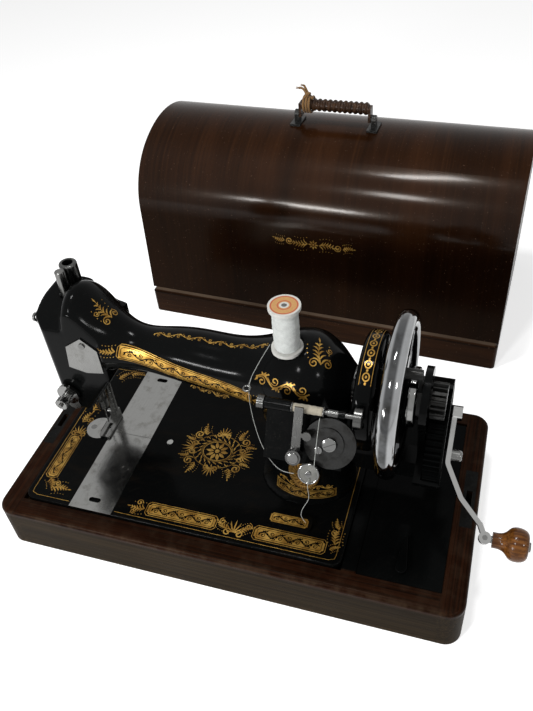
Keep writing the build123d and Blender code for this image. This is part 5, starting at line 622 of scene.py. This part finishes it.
def grip_wood():
    """The carrying handle: dark, greasy, ribbed wood with lighter ridges."""
    look = Finish("grip_wood")
    cloud = look.noise(6, 4, 0.6)
    grime = look.noise(1.2, 3).step(0.5, 0.7)
    body = look.mix(cloud.step(*TONES), (0.012, 0.0055, 0.003), (0.055, 0.026, 0.012))
    colour = look.mix(grime * 0.5, body, (0.008, 0.005, 0.003))
    return look.done(colour, 0.24 + grime * 0.2, grime + cloud * 0.5, 0.05, shine=0.12)


def spool_birch():
    """White turned spool with a plain orange paper ring and red lines on its top."""
    look = Finish("spool_birch")
    far = look.far(look.x - SPOOL_X, look.y - SPOOL_Y)
    top = look.z.step(SPOOL_TOP - 0.5, SPOOL_TOP - 0.1)
    label = top * far.hill(7.5, 3.6, 0.3)
    line = top * far.hill(10.4, 0.40, 0.2) + top * far.hill(5.2, 0.35, 0.2)
    grain = look.noise((1.2, 1.2, 30), 3)
    wood = look.mix(grain, (0.46, 0.45, 0.42), (0.60, 0.60, 0.57))
    paper = look.mix(look.noise(1.5, 3), (0.40, 0.19, 0.055), (0.52, 0.30, 0.11))
    colour = look.mix(line.least(1.0), look.mix(label, wood, paper), (0.38, 0.065, 0.03))
    return look.done(colour, 0.55 + grain * 0.15, grain - label * 0.5, 0.04)


def spun_thread(name, colour, fibre=0.35):
    """Twisted cotton: slanting plies and loose fibres."""
    look = Finish(name)
    plies = look.noise((fibre, fibre * 3, fibre), 2, 0.5, (0.4, 0.5, 0.6))
    mottle = (plies * 0.6 + look.noise(4, 3) * 0.4).step(0.3, 0.65)
    mixed = look.mix(mottle, shade(colour, 0.72), colour)
    return look.done(mixed, 0.75 + plies * 0.1, plies, 0.08, shine=0.25, Sheen_Weight=0.2)


def oily_iron(name, tone, relief=0.05, shine=0.5):
    """Dark cast iron with oil and worn high spots."""
    look = Finish(name)
    grit = look.noise(1.1, 3, 0.6)
    oil = look.noise(8, 4, 0.6).step(*BLOTCHES)
    low, high = shade((0.7, 0.7, 0.7), tone), shade((1.5, 1.5, 1.4), tone)
    body = look.mix(grit.step(0.3, 0.8), low, high)
    colour = look.mix(oil * 0.5, body, shade((0.5, 0.42, 0.3), tone))
    return look.done(colour, 0.42 - oil * 0.16, grit, relief, 0.75, shine)


def finish_nodes(finish, names):
    """Gives CAD nodes their finish; the names are parted by spaces."""
    for name in names.split():
        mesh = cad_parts[name].data
        if not mesh.materials:
            mesh.materials.append(finish)
        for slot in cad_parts[name].material_slots:
            slot.material = finish


# Cords: the loose thread
def make_thread(name, points, body, node, length, far_end, lay, finish):
    """A free thread on the source's own route."""
    thread = wire_curve(name, points, THREAD_DIAMETER / 2)
    carry(thread, body, "white_thread", finish, node)


# Gilt drawing: a stroke is (points, closed); a point is x, y and half width, in millimetres
UP = pi / 2
LEFT = pi


def ahead(x, y, angle, along, aside=0.0):
    """The point that far along the angle from (x, y), and aside to its left."""
    return (
        x + along * cos(angle) - aside * sin(angle),
        y + along * sin(angle) + aside * cos(angle),
    )


def leaf(x, y, angle, length, width, bend=0.12):
    """A pointed leaf that grows from (x, y)."""
    points = []
    for along, out, thick in ((0, 0, 0.15), (0.3, 0.6, 1.0), (0.65, 1.0, 0.8), (1.0, 0.3, 0.04)):
        place = ahead(x, y, angle, length * along, length * out * bend)
        points.append((*place, width * thick))
    return [(points, False)]


def curl(x, y, radius, start, turns, width, hand=1):
    """A tendril that winds in towards (x, y) and ends in a bud."""
    count = max(6, round(turns * 8))
    points = []
    for step in range(count + 1):
        share = step / count
        angle = start + hand * 2 * pi * turns * share
        place = ahead(x, y, angle, radius * (1 - 0.8 * share))
        points.append((*place, width * (0.45 + 0.55 * share)))
    points[-1] = (*points[-1][:2], width * 1.5)
    return [(points, False)]


def ring(x, y, wide, tall, width, count=16):
    """A closed oval line."""
    angles = [2 * pi * step / count for step in range(count)]
    return [([(x + wide * cos(angle), y + tall * sin(angle), width) for angle in angles], True)]


def dot(x, y, radius):
    """A round spot."""
    return ring(x, y, radius * 0.5, radius * 0.5, radius * 0.5, 6)


def rosette(x, y, radius, petals):
    """Petals round a spot."""
    strokes = dot(x, y, radius * 0.22)
    for step in range(petals):
        angle = 2 * pi * step / petals
        foot = ahead(x, y, angle, radius * 0.32)
        strokes += leaf(*foot, angle, radius * 0.68, radius * 0.17, 0.0)
    return strokes


def fan(x, y, angle, size, width):
    """A palmette: a fan of leaves between two curls."""
    strokes = []
    for step in range(-3, 4):
        length = size * (1 - 0.09 * abs(step))
        strokes += leaf(x, y, angle + step * 0.40, length, width * 0.62, 0.06 * step)
    for side in (-1, 1):
        lean = angle + side * 1.75
        heart = ahead(x, y, lean, size * 0.42)
        strokes += curl(*heart, size * 0.34, lean + pi, 1.25, width * 0.7, side)
    return strokes


def spray(x, y, angle, size, width):
    """A leafy twig with a bud at its tip."""
    stem = []
    for step in range(6):
        share = step / 5
        place = ahead(x, y, angle, size * share, size * 0.10 * sin(share * pi))
        stem.append((*place, width * (0.42 - 0.25 * share)))
    strokes = [(stem, False)]
    for step, (*foot, _) in enumerate(stem[:-1]):
        length = size * (0.42 - 0.05 * step)
        for side in (-1, 1):
            strokes += leaf(*foot, angle + side * 0.95, length, width * 0.72, -0.22 * side)
            strokes += dot(*ahead(*foot, angle + side * 1.45, size * 0.46), width * 0.5)
    return strokes + leaf(*stem[-1][:2], angle, size * 0.26, width * 0.8, 0.0)


def vine(start, end, y, height, waves, width):
    """A running vine from left to right with a curl and leaves in every bend."""
    step = (end - start) / waves
    stem = []
    for knot in range(2 * waves + 1):
        lift = (0, 1, 0, -1)[knot % 4] * height * 0.34
        stem.append((start + step * knot / 2, y + lift, width * 0.8))
    strokes = [(stem, False)]
    for wave in range(waves):
        side = 1 if wave % 2 == 0 else -1
        x = start + step * (wave + 0.5)
        rise = side * height
        strokes += curl(x, y - rise * 0.14, height * 0.30, side * 2.6, 1.3, width * 0.8, -side)
        foot = (x + step * 0.1, y + rise * 0.18)
        for turn, size in ((0.5, 0.34), (1.2, 0.28), (2.3, 0.30)):
            strokes += leaf(*foot, side * turn, height * size, width * 1.3, 0.1)
        foot = (x - step * 0.35, y + rise * 0.05)
        strokes += leaf(*foot, -side * 2.2, height * 0.34, width * 1.3)
        strokes += dot(x + step * 0.42, y + rise * 0.36, width * 1.1)
    return strokes


def along_corners(corners, width):
    """Points along straight runs, close together near each corner to keep it crisp."""
    points = []
    for (x, y), (next_x, next_y) in zip(corners, corners[1:]):
        for share in (0.0, 0.04, 0.5, 0.96):
            points.append((x + share * (next_x - x), y + share * (next_y - y), width))
    return points


def border(left, right, low, high, width, inset=1.5):
    """A rounded outline."""
    corners = [
        (left + inset, low), (right - inset, low), (right, low + inset), (right, high - inset),
        (right - inset, high), (left + inset, high), (left, high - inset), (left, low + inset),
    ]
    return [(along_corners(corners + corners[:1], width), True)]


def edge_line(start, end, half, turn, width):
    """A line along three sides of the bed, which stops short of the slide plates."""
    corners = [
        (start, -half), (end - turn, -half), (end - turn / 8, 2 - half), (end, abs(turn) - half),
        (end, half - abs(turn)), (end - turn / 8, half - 2), (end - turn, half), (start, half),
    ]
    return [(along_corners(corners, width) + [(*corners[-1], width)], False)]


def turned(strokes, x, y, angle=0.0):
    """Strokes turned about the origin, then moved to (x, y)."""
    moved = []
    for points, closed in strokes:
        moved.append(([(*ahead(x, y, angle, a, b), wide) for a, b, wide in points], closed))
    return moved


def drawn(*rows):
    """The strokes of rows of (what to draw, its measures)."""
    strokes = []
    for draw, *measures in rows:
        strokes += draw(*measures)
    return strokes


def scalloped(left, right, low, high, bite):
    """The outline of a bar whose corners are bitten out round."""
    outline = []
    for x, y, start in ((left, low, 0.5), (right, low, 1.0), (right, high, 1.5), (left, high, 0.0)):
        outline += [ahead(x, y, pi * (start - 0.1 * step), bite) for step in range(6)]
    return outline


# Gilt leaf: heights, a thickness and lifts in millimetres, and where pressing starts
GROUND_HEIGHT = 0.05
LEAF_THICKNESS = 0.06
BAND_LIFT, GILT_LIFT, INK_LIFT = 0.10, 0.12, 0.22
PRESS_FROM = 30
# The share of its height that a laid stroke keeps, and that a skin for pressing keeps
STROKE_SHARE, SKIN_SHARE = 0.12, 0.001
# What is cut away, between heights in metres: a stroke's underside, and what met no face
UNDERSIDE = (-1.0, -0.00001)
UNPRESSED = (-0.001, 1.0)


def flat_gilt(name, strokes, fine):
    """Strokes on the drawing plane."""
    lines = []
    for points, closed in strokes:
        lines.append(([(x, y, 0.0, width) for x, y, width in points], closed))
    return as_mesh(new_curve(
        name, lines, fine, dimensions="3D", twist_mode="Z_UP", bevel_depth=MM, bevel_resolution=0
    ))


def lay_ground(name, outlines, z, finish):
    """Solid gilt inside outlines on a level face of the machine."""
    lines = [([(x, y, 0.0, 1.0) for x, y in outline], True) for outline in outlines]
    half = GROUND_HEIGHT / 2
    piece = as_mesh(new_curve(
        name, lines, 0, dimensions="2D", fill_mode="BOTH", extrude=half * MM
    ))
    settle(piece, Matrix.Translation((0, 0, (z + half) * MM)))
    carry(piece, "machine_head", "brass", finish)


def lay_gilt(name, strokes, z, finish, slot="brass"):
    """Strokes on a level face of the machine."""
    piece = flat_gilt(name, strokes, 3)
    flat = Matrix.Diagonal((1.0, 1.0, STROKE_SHARE, 1.0))
    settle(piece, Matrix.Translation((0, 0, z * MM)) @ flat)
    smooth(piece, 60)
    carry(piece, "machine_head", slot, finish)


def trim(piece, low, high):
    """Deletes the vertices between two heights of the drawing plane, in metres."""
    use(piece)
    for vertex in piece.data.vertices:
        vertex.select = low < vertex.co.z < high
    for part in (*piece.data.edges, *piece.data.polygons):
        part.select = False
    bpy.ops.object.mode_set(mode="EDIT")
    bpy.ops.mesh.select_mode(type="VERT")
    bpy.ops.mesh.delete(type="VERT")
    bpy.ops.object.mode_set(mode="OBJECT")


def press_on(piece, site, target, lift):
    """Presses a flat skin on a curved face; a site is a place, the way out and the way right."""
    place, facing, right = site
    out = Vector(facing).normalized()
    east = Vector(right)
    east = (east - out * east.dot(out)).normalized()
    matrix = Matrix((east, out.cross(east), out)).transposed().to_4x4()
    matrix.translation = (Vector(place) + out * PRESS_FROM) * MM
    piece.matrix_world = matrix
    bpy.context.view_layer.update()
    modify(
        piece, "SHRINKWRAP", wrap_method="PROJECT", wrap_mode="ABOVE_SURFACE", target=target,
        offset=lift * MM, use_project_z=True, use_negative_direction=True,
        use_positive_direction=False,
    )
    trim(piece, *UNPRESSED)
    modify(piece, "SOLIDIFY", thickness=LEAF_THICKNESS * MM, offset=-0.5)
    settle(piece, matrix)
    smooth(piece, 60)


def wrap_gilt(name, strokes, site, target, finish, slot="brass", body="machine_head"):
    """Strokes on a curved face, or black ones on the gold band there."""
    piece = flat_gilt(name, strokes, 6)
    trim(piece, *UNDERSIDE)
    settle(piece, Matrix.Diagonal((1.0, 1.0, SKIN_SHARE, 1.0)))
    press_on(piece, site, target, GILT_LIFT if slot == "brass" else INK_LIFT)
    carry(piece, body, slot, finish)


def wrap_band(name, length, height, site, target, finish):
    """A gold band on a curved face."""
    operator = bpy.ops.mesh.primitive_grid_add
    band = add_shape(operator, name, x_subdivisions=140, y_subdivisions=14, size=1.0)
    settle(band, Matrix.Diagonal((length * MM, height * MM, 1.0, 1.0)))
    press_on(band, site, target, BAND_LIFT)
    carry(band, "machine_head", "brass", finish)


# Pieces that stand for soft or cast nodes, and the winder's small fittings
def make_arm(finish):
    """The cast arm with its edges run together as a casting's are."""
    shell = put_in_scene("arm_shell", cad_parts["arm_casting"].data.copy())
    use(shell)
    bpy.ops.object.mode_set(mode="EDIT")
    bpy.ops.mesh.select_all(action="SELECT")
    bpy.ops.mesh.remove_doubles(threshold=0.00001)
    bpy.ops.object.mode_set(mode="OBJECT")
    modify(shell, "REMESH", mode="VOXEL", voxel_size=0.0014, adaptivity=0.0)
    modify(shell, "SMOOTH", factor=0.5, iterations=8)
    bpy.ops.object.shade_smooth()
    return carry(shell, "machine_head", "black_japan", finish, "arm_casting")


def wound(turns, around, low, high, bare, swell, ripple, beat):
    """Points of a wound thread, fuller at its middle: along its axis, then across it both ways."""
    points = []
    count = turns * around
    for step in range(count + 1):
        share = step / count
        radius = bare + swell * sin(pi * share) + ripple * sin(share * beat)
        points.append((low + (high - low) * share, *ahead(0, 0, 2 * pi * step / around, radius)))
    return points


def make_winding(name, points, radius, body, finish, node):
    """Fine turns of thread."""
    winding = as_mesh(wire_curve(name, points, radius, sides=1, fine=3))
    smooth(winding, 80)
    carry(winding, body, "white_thread", finish, node)


def make_spool_winding(finish):
    """The thread on the spool."""
    low, high = SPOOL_SEAT + SPOOL_FLANGE, SPOOL_TOP - SPOOL_FLANGE
    turns = wound(56, 10, low, high, 10.25, 0.55, 0.10, 41)
    points = [(SPOOL_X + east, SPOOL_Y + north, z) for z, east, north in turns]
    make_winding("spool_turns", points, 0.46, "spool", finish, "spool_winding")


def turned_rod(name, start, end, radius):
    """A short rod along the winder's spindle, with its edges eased."""
    rod = add_shape(
        bpy.ops.mesh.primitive_cylinder_add, name, vertices=40, radius=radius * MM,
        depth=(end - start) * MM, rotation=(0, pi / 2, 0),
        location=((start + end) / 2 * MM, BOBBIN_Y * MM, BOBBIN_Z * MM),
    )
    settle(rod, rod.matrix_world.copy())
    modify(rod, "BEVEL", width=0.2 * MM, segments=2, limit_method="ANGLE")
    return rod


def make_bobbin(steel, thread):
    """The long bobbin: steel core and ends, and fine turns of thread between them."""
    start, end = BOBBIN_START, BOBBIN_END
    bobbin = turned_rod("bobbin_steel", start, start + 1.0, BOBBIN_END_RADIUS)
    far_end = turned_rod("bobbin_end", end - 1.0, end, BOBBIN_END_RADIUS)
    core = turned_rod("bobbin_core", start + 0.5, end - 0.5, BOBBIN_CORE_RADIUS)
    join(bobbin, (far_end, core))
    smooth(bobbin, 40)
    carry(bobbin, "winder_shaft", "bright_steel", steel, "wound_bobbin")
    turns = wound(48, 8, start + 1.3, end - 1.3, 3.25, 0.25, 0.12, 29)
    points = [(x, BOBBIN_Y + north, BOBBIN_Z + up) for x, north, up in turns]
    make_winding("bobbin_turns", points, 0.30, "winder_shaft", thread, "wound_bobbin")


def winder_place(across, up, out):
    """A place on the winder's slanting front: to the right, up and out from its gear."""
    tilt = Matrix.Rotation(radians(WINDER_TILT), 4, "X")
    shift = Matrix.Translation(Vector((across, up, out)) * MM)
    return Matrix.Translation(Vector(WINDER_GEAR) * MM) @ tilt @ shift


def slotted_head(name, radius, height, turn, place, body, finish):
    """A screw's round head with a slot, on the winder."""
    operator = bpy.ops.mesh.primitive_cylinder_add
    head = add_shape(operator, name, vertices=48, radius=radius * MM, depth=height * MM)
    modify(head, "BEVEL", width=0.25 * height * MM, segments=3, limit_method="ANGLE")
    cutter = add_shape(
        bpy.ops.mesh.primitive_cube_add, "slot_cutter", size=MM,
        location=(0, 0, height / 2 * MM), rotation=(0, 0, turn),
    )
    cutter.scale = (3 * radius, 0.26 * radius, height)
    bpy.context.view_layer.update()
    modify(head, "BOOLEAN", operation="DIFFERENCE", object=cutter)
    bpy.data.objects.remove(cutter)
    settle(head, winder_place(*place))
    smooth(head, 35)
    carry(head, body, "bright_steel", finish)


def make_winder_screws(finish):
    """Screw heads on the winder and the rolled rim of its thread disc."""
    slotted_head("winder_centre_screw", 5.6, 2.2, 0.5, (0, 0, 3.7), "winder", finish)
    slotted_head("winder_cam_screw", 3.0, 1.4, 1.9, (-8, -6, 3.2), "winder_cam", finish)
    slotted_head("winder_knob_screw", 4.2, 1.2, 0.9, (-25, -12, 14.1), "winder_lever", finish)
    slotted_head("winder_disc_screw", 2.4, 1.2, 0.2, (-13, -25, 8.1), "winder", finish)
    rim = add_shape(
        bpy.ops.mesh.primitive_torus_add, "winder_disc_rim", major_radius=7.7 * MM,
        minor_radius=0.7 * MM, major_segments=56, minor_segments=12,
    )
    settle(rim, winder_place(-13, -25, 7.5))
    smooth(rim, 60)
    carry(rim, "winder", "bright_steel", finish)


def make_tie(finish):
    """The tan lace tied round the carrying handle: turns, a knot and two frayed ends."""
    coil = []
    for step in range(34):
        coil.append((-5.4 + 10.8 * step / 33, *ahead(0, 0, 2 * pi * step / 10, 9.0)))
    tie = wire_curve("lace_tie", coil, 1.45, 3, 6)
    others = [wire_curve("lace_knot", LACE_KNOT, 1.5, 3)]
    for end in LACE_ENDS:
        others.append(wire_curve("lace_end", end, 1.25, 3))
        x, y, z = end[-1]
        for step in range(7):
            side, rise = ahead(0, 0, 2 * pi * step / 7, 1.5)
            strand = [
                (x + 0.6, y + 0.3 * side, z + 0.3 * rise),
                (x - 1.5, y + 0.6 * side, z + 0.5 * rise),
                (x - 3.2 - 0.4 * (step % 3), y + side, z + 0.6 * rise),
            ]
            others.append(wire_curve("lace_strand", strand, 0.22, 1, 4))
    for piece in (tie, *others):
        as_mesh(piece)
    join(tie, others)
    turn = Matrix.Rotation(radians(TIE_TURN), 4, "Z")
    settle(tie, Matrix.Translation(Vector(TIE_PLACE) * MM) @ turn)
    smooth(tie, 60)
    carry(tie, "cover_handle", "tan_lace", finish, "handle_tie")


make_camera()
cotton = spun_thread("white_cotton", (0.62, 0.64, 0.62))
loose = spun_thread("loose_cotton", (0.34, 0.35, 0.33))
for thread_row in (
    ("thread_from_spool", THREAD_FEED, "machine_head", "thread_feed", 130.7, "object", "hanging"),
    ("thread_end_hanging", THREAD_TAIL, "winder", "thread_tail", 69.0, "bare", "hanging"),
    ("thread_to_bobbin", THREAD_RUN, "winder", "thread_tail", 44.0, "object", "taut"),
):
    make_thread(*thread_row, loose)
make_world()
make_floor()
for lamp_row in LAMPS:
    make_lamp(*lamp_row)

# Finishes on the nodes
enamel = japan_black("japan_black", 0.08, 0.02)
panel_black = japan_black("panel_black", 0.08, 0.05, 0.10, 0.02)
plate_steel = brushed_steel("plate_steel", 1, 0.24, 0.5, 0.10)
part_steel = brushed_steel("part_steel", 0, 0.15, 0.4)
dark_steel = brushed_steel("dark_steel", 2, 0.07, 0.4)
nickel = polished_nickel("polished_nickel", 0.20)
lace = spun_thread("tan_lace", (0.20, 0.105, 0.034), 0.8)
# the cover's shell: painted shade towards the bottom, below 130 to 225 mm
shell_wood = lid_finish("lid_wood", (1, 2), 0.14, 0.05, (130.0, 225.0), None, (184.0, 22.0, 18.0))
for node_finish, node_names in (
    (base_wood(), "base_frame base_bottom_board"),
    (oily_iron("catch_iron", 0.006, shine=0.05), "catch_plates catch_plate_screws"),
    (oily_iron("bracket_iron", 0.016), "bed_hinge_brackets lid_handle_brackets"),
    (panel_black, "accessory_lid compartment_divider"),
    (bed_black(), "bed_casting"),
    (enamel, "arm_casting crank_bracket face_plate"),
    (japan_black("gear_black", 0.04, 0.0, 0.26, 0.012), "crank_gear"),
    (winder_finish(), "winder_frame"),
    (brushed_steel("head_steel", 2, 0.20, 0.35), "inspection_plate"),
    (plate_steel, "needle_plate front_slide_plate rear_slide_plate"),
    (part_steel, "cover_screws spool_pin arm_thread_guide shaft_bushes tension_post"),
    (part_steel, "tension_spring main_shaft crank_latch handle_spindle needle_bar"),
    (part_steel, "needle_clamp needle take_up_lever presser_bar presser_foot"),
    (part_steel, "presser_lifter shuttle feed_bar"),
    (dark_steel, "pressure_screw winder_spindle winder_guide_lever"),
    (nickel, "tension_discs tension_nut stop_motion_knob"),
    (polished_nickel("crank_nickel", 0.33), "crank_arm"),
    (oily_iron("oily_iron", 0.012), "drive_pinion needle_bar_cam shuttle_lever"),
    (oily_iron("winder_iron", 0.010, 0.015), "winder_cam_gear"),
    (wheel_finish(), "handwheel"),
    (badge_brass(), "pillar_badge"),
    (turned_handle(), "crank_handle"),
    (spool_birch(), "thread_spool"),
    (cotton, "spool_winding wound_bobbin thread_feed thread_tail"),
    (shell_wood, "lid_shell"),
    # the cover's ends: painted shade towards the bottom, below 60 to 240 mm
    (lid_finish("lid_end_wood", (1,), 0.24, 0.08, (60.0, 240.0)), "lid_ends"),
    # the skirt: a painted highlight line on its ledge and a painted shade line under it
    (lid_finish("lid_skirt_wood", (0,), 0.20, 0.14, ledge=LID_LEDGE), "lid_skirt"),
    (grip_wood(), "lid_handle"),
    (lace, "handle_tie"),
):
    finish_nodes(node_finish, node_names)

# Pieces
arm = make_arm(enamel)
make_spool_winding(cotton)
make_bobbin(dark_steel, spun_thread("bobbin_cotton", (0.42, 0.38, 0.30)))
make_winder_screws(nickel)
make_tie(lace)

# Ornament on the bed: gold bars with black vines on them, and gold leaves and scrolls
gold = gilt("gilt")
ink = japan_black("ornament_black", 0.05, 0.0, 0.14)
BARS = ((-73, -6), (32, 96))
BAR_LOW, BAR_HIGH = -84, -72
LEFT_BAR = (-183, -39.5)
grounds = [scalloped(left, right, BAR_LOW, BAR_HIGH, 2.2) for left, right in BARS]
grounds.append(scalloped(-188, -178, -66, -13, 2.0))
lay_ground("bed_gold_bars", grounds, BED_TOP, gold)

ink_lines = []
bed_lines = edge_line(-103, 108, 89, 6, 0.22) + edge_line(-151, -192, 89, -6, 0.22)
for left, right in BARS:
    ink_lines += border(left + 2.2, right - 2.2, BAR_LOW + 1.4, BAR_HIGH - 1.4, 0.24)
    ink_lines += vine(left + 4, right - 4, (BAR_LOW + BAR_HIGH) / 2, 9.0, 7, 0.72)
    bed_lines += border(left - 1.4, right + 1.4, BAR_LOW - 1.4, BAR_HIGH + 1.4, 0.26, 2.6)
left_vine = border(-24.3, 24.3, -3.6, 3.6, 0.24) + vine(-23, 23, 0, 7.4, 5, 0.62)
ink_lines += turned(left_vine, *LEFT_BAR, UP)
bed_lines += turned(border(-28, 28, -6.4, 6.4, 0.26, 2.6), *LEFT_BAR, UP)

# the middle of the front edge, the ends of its bars and the left end of the bed
for side in (-1, 1):
    bed_lines += spray(13 + side * 7, -80, UP - side * 1.05, 11, 0.8)
    bed_lines += curl(13 + side * 12.5, -74.0, 3.8, UP, 1.3, 0.6, -side)
bed_lines += drawn(
    (fan, 13, -83, UP, 13.5, 1.15),
    (spray, -76, -79, LEFT, 14, 0.9),
    (curl, -83, -73.5, 3.6, 0.0, 1.3, 0.6, 1),
    (curl, -86, -84.0, 3.0, 0.4, 1.3, 0.55, -1),
    (spray, 101, -79, 0.5, 8, 0.8),
    (spray, 104.5, -73, UP, 15, 0.95),
    (curl, 101.5, -62, 3.6, 0.2, 1.4, 0.6, 1),
    (spray, 104.0, -57, 1.9, 9, 0.8),
    (spray, -182, -68.5, -1.0, 13, 0.9),
    (spray, -174, -78.5, 0.1, 15, 0.9),
    (curl, -172, -72.5, 3.6, LEFT, 1.3, 0.6, -1),
    (fan, -183, -9, UP, 11.5, 1.0),
    (spray, -186, 6, 1.3, 15, 0.95),
    (curl, -179, 11, 4.2, LEFT, 1.4, 0.6, 1),
    (spray, -183, 24, 1.15, 17, 1.0),
    (curl, -176, 30, 3.8, 2.4, 1.3, 0.6, -1),
    (spray, -176, 74, 0.9, 14, 0.95),
    (spray, -165, 84, 0.15, 13, 0.9),
)
bed_lines += turned(vine(-24, 24, 0, 8.5, 5, 0.6), -69.5, 78.5, -0.18)

# the wreath in the middle of the bed, drawn about its own middle
wreath = rosette(0, 0, 11.5, 10) + ring(0, 0, 14.4, 11.8, 0.38, 20)
wreath += ring(0, 0, 15.9, 13.1, 0.2, 20) + ring(0, 0, 25.0, 20.9, 0.24, 24)
for step in range(20):
    angle = 2 * pi * step / 20
    wreath += leaf(16.8 * cos(angle), 13.8 * sin(angle), angle + 1.0, 5.6, 0.72, 0.14)
    wreath += leaf(20.2 * cos(angle), 16.6 * sin(angle), angle + 0.5, 5.0, 0.62, -0.14)
    wreath += dot(23.6 * cos(angle + 0.1), 19.6 * sin(angle + 0.1), 0.55)
for side in (-1, 1):
    wreath += fan(side * 25.5, 0, 0.0 if side > 0 else LEFT, 12.5, 1.15)
    wreath += fan(0, side * 21.5, side * UP, 10.5, 1.1)
    for lift in (-1, 1):
        lean = atan2(lift, side)
        hand = side * lift
        wreath += curl(side * 24.5, lift * 17.0, 5.6, lean + pi, 1.5, 0.8, hand)
        wreath += spray(side * 17.5, lift * 18.2, lean + hand * 0.5, 12, 0.85)
        wreath += spray(side * 26.5, lift * 10.0, lean - hand * 0.6, 9, 0.8)
bed_lines += turned(wreath, -33, 2)
lay_gilt("bed_gilt", bed_lines, BED_TOP, gold)
lay_ground("pad_gold", [scalloped(42, 77, -65.3, -55.7, 1.6)], PAD_TOP, gold)
pad_lines = border(43.6, 75.4, -64.2, -56.8, 0.22) + vine(45, 74, -60.5, 6.4, 4, 0.60)
lay_gilt("pad_ink", pad_lines, PAD_TOP + GROUND_HEIGHT, ink, "black_japan")
lay_gilt("bed_ink", ink_lines, BED_TOP + GROUND_HEIGHT, ink, "black_japan")

# Ornament on the arm, pillar and head; a site is a place, the way out and the way right
ARM_SITE = ((-36.6, -22, 185.6), (0.0, -1.0, 0.22), (120.8, 0.0, -23.3))
CREST_SITE = ((-17, -3, 206), (0.0, -0.12, 1.0), (1, 0, 0))
HEAD_SITE = ((-113.5, -1.4, 224.4), (0.72, -0.10, 0.69), (0.1, 1.0, 0.0))
DOME_SITE = ((80, -8, 218), (0.45, -0.25, 0.85), (0.9, 0.35, -0.3))
ROOT_SITE = ((54, -32, 200), (-0.1, -0.85, 0.5), (1, 0, 0))
PILLAR_SITE = ((67, -30, 67), (0.0, -1.0, 0.1), (1, 0, 0))
COVER_SITE = ((2.0, 257.0, 131.5), (-0.049, -0.998, 0.0), (0.9988, -0.049, -0.03))

wrap_band("arm_band", 122, 11.5, ARM_SITE, arm, gilt("band_gilt", 1.45, 0.6))
band_ink = border(-59.5, 59.5, -4.6, 4.6, 0.26) + vine(-57, 57, 0, 8.4, 11, 0.62)
wrap_gilt("arm_band_ink", band_ink, ARM_SITE, arm, ink, "black_japan")
band_edge = border(-62.5, 62.5, -7.0, 7.0, 0.28, 2.6)
band_edge += spray(64, 0, 0.0, 15, 0.9) + spray(-64, 0, LEFT, 12, 0.9)
wrap_gilt("arm_band_edge", band_edge, ARM_SITE, arm, gold)
wrap_gilt("arm_crest_vine", vine(-52, 52, 0, 6.2, 11, 0.42), CREST_SITE, arm, gold)
head_leaves = spray(0, -9, UP, 19, 1.05) + curl(-6, -8, 4.2, 0.3, 1.5, 0.6, 1)
head_leaves += curl(6, -8, 4.2, 2.8, 1.5, 0.6, -1) + curl(-8, 3, 3.0, 0.0, 1.4, 0.5, -1)
wrap_gilt("head_spray", head_leaves, HEAD_SITE, arm, gold)
dome_leaves = spray(0, -10, UP, 20, 1.05) + curl(-6, -9, 4.4, 0.3, 1.5, 0.6, 1)
dome_leaves += curl(6, -9, 4.4, 2.8, 1.5, 0.6, -1) + curl(8, 3, 3.0, LEFT, 1.4, 0.5, 1)
wrap_gilt("dome_spray", dome_leaves, DOME_SITE, arm, gold)
root = turned(vine(-24, 24, 0, 14, 4, 0.75), 0, 0, -0.12)
wrap_gilt("root_scroll", root, ROOT_SITE, arm, gold)
wrap_band("pillar_band", 56, 9.5, PILLAR_SITE, arm, gilt("dim_gilt", 0.55))
pillar_ink = border(-26.5, 26.5, -3.6, 3.6, 0.24) + vine(-25, 25, 0, 6.8, 6, 0.60)
wrap_gilt("pillar_ink", pillar_ink, PILLAR_SITE, arm, ink, "black_japan")
wrap_gilt("pillar_vine", vine(-25, 25, 8.5, 6.5, 6, 0.5), PILLAR_SITE, arm, gold)

# A plain flourish on the cover
flourish = rosette(0, 0, 6.0, 8)
for side in (-1, 1):
    way = 0.0 if side > 0 else LEFT
    flourish += spray(side * 7, 0, way, 18, 0.9)
    flourish += curl(side * 29, 0.5, 5.0, LEFT - way, 1.6, 0.75, side)
    flourish += spray(side * 35, 0, way + side * 0.15, 12, 0.8)
cover_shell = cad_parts["lid_shell"]
wrap_gilt("cover_flourish", flourish, COVER_SITE, cover_shell, gold, body="cover")
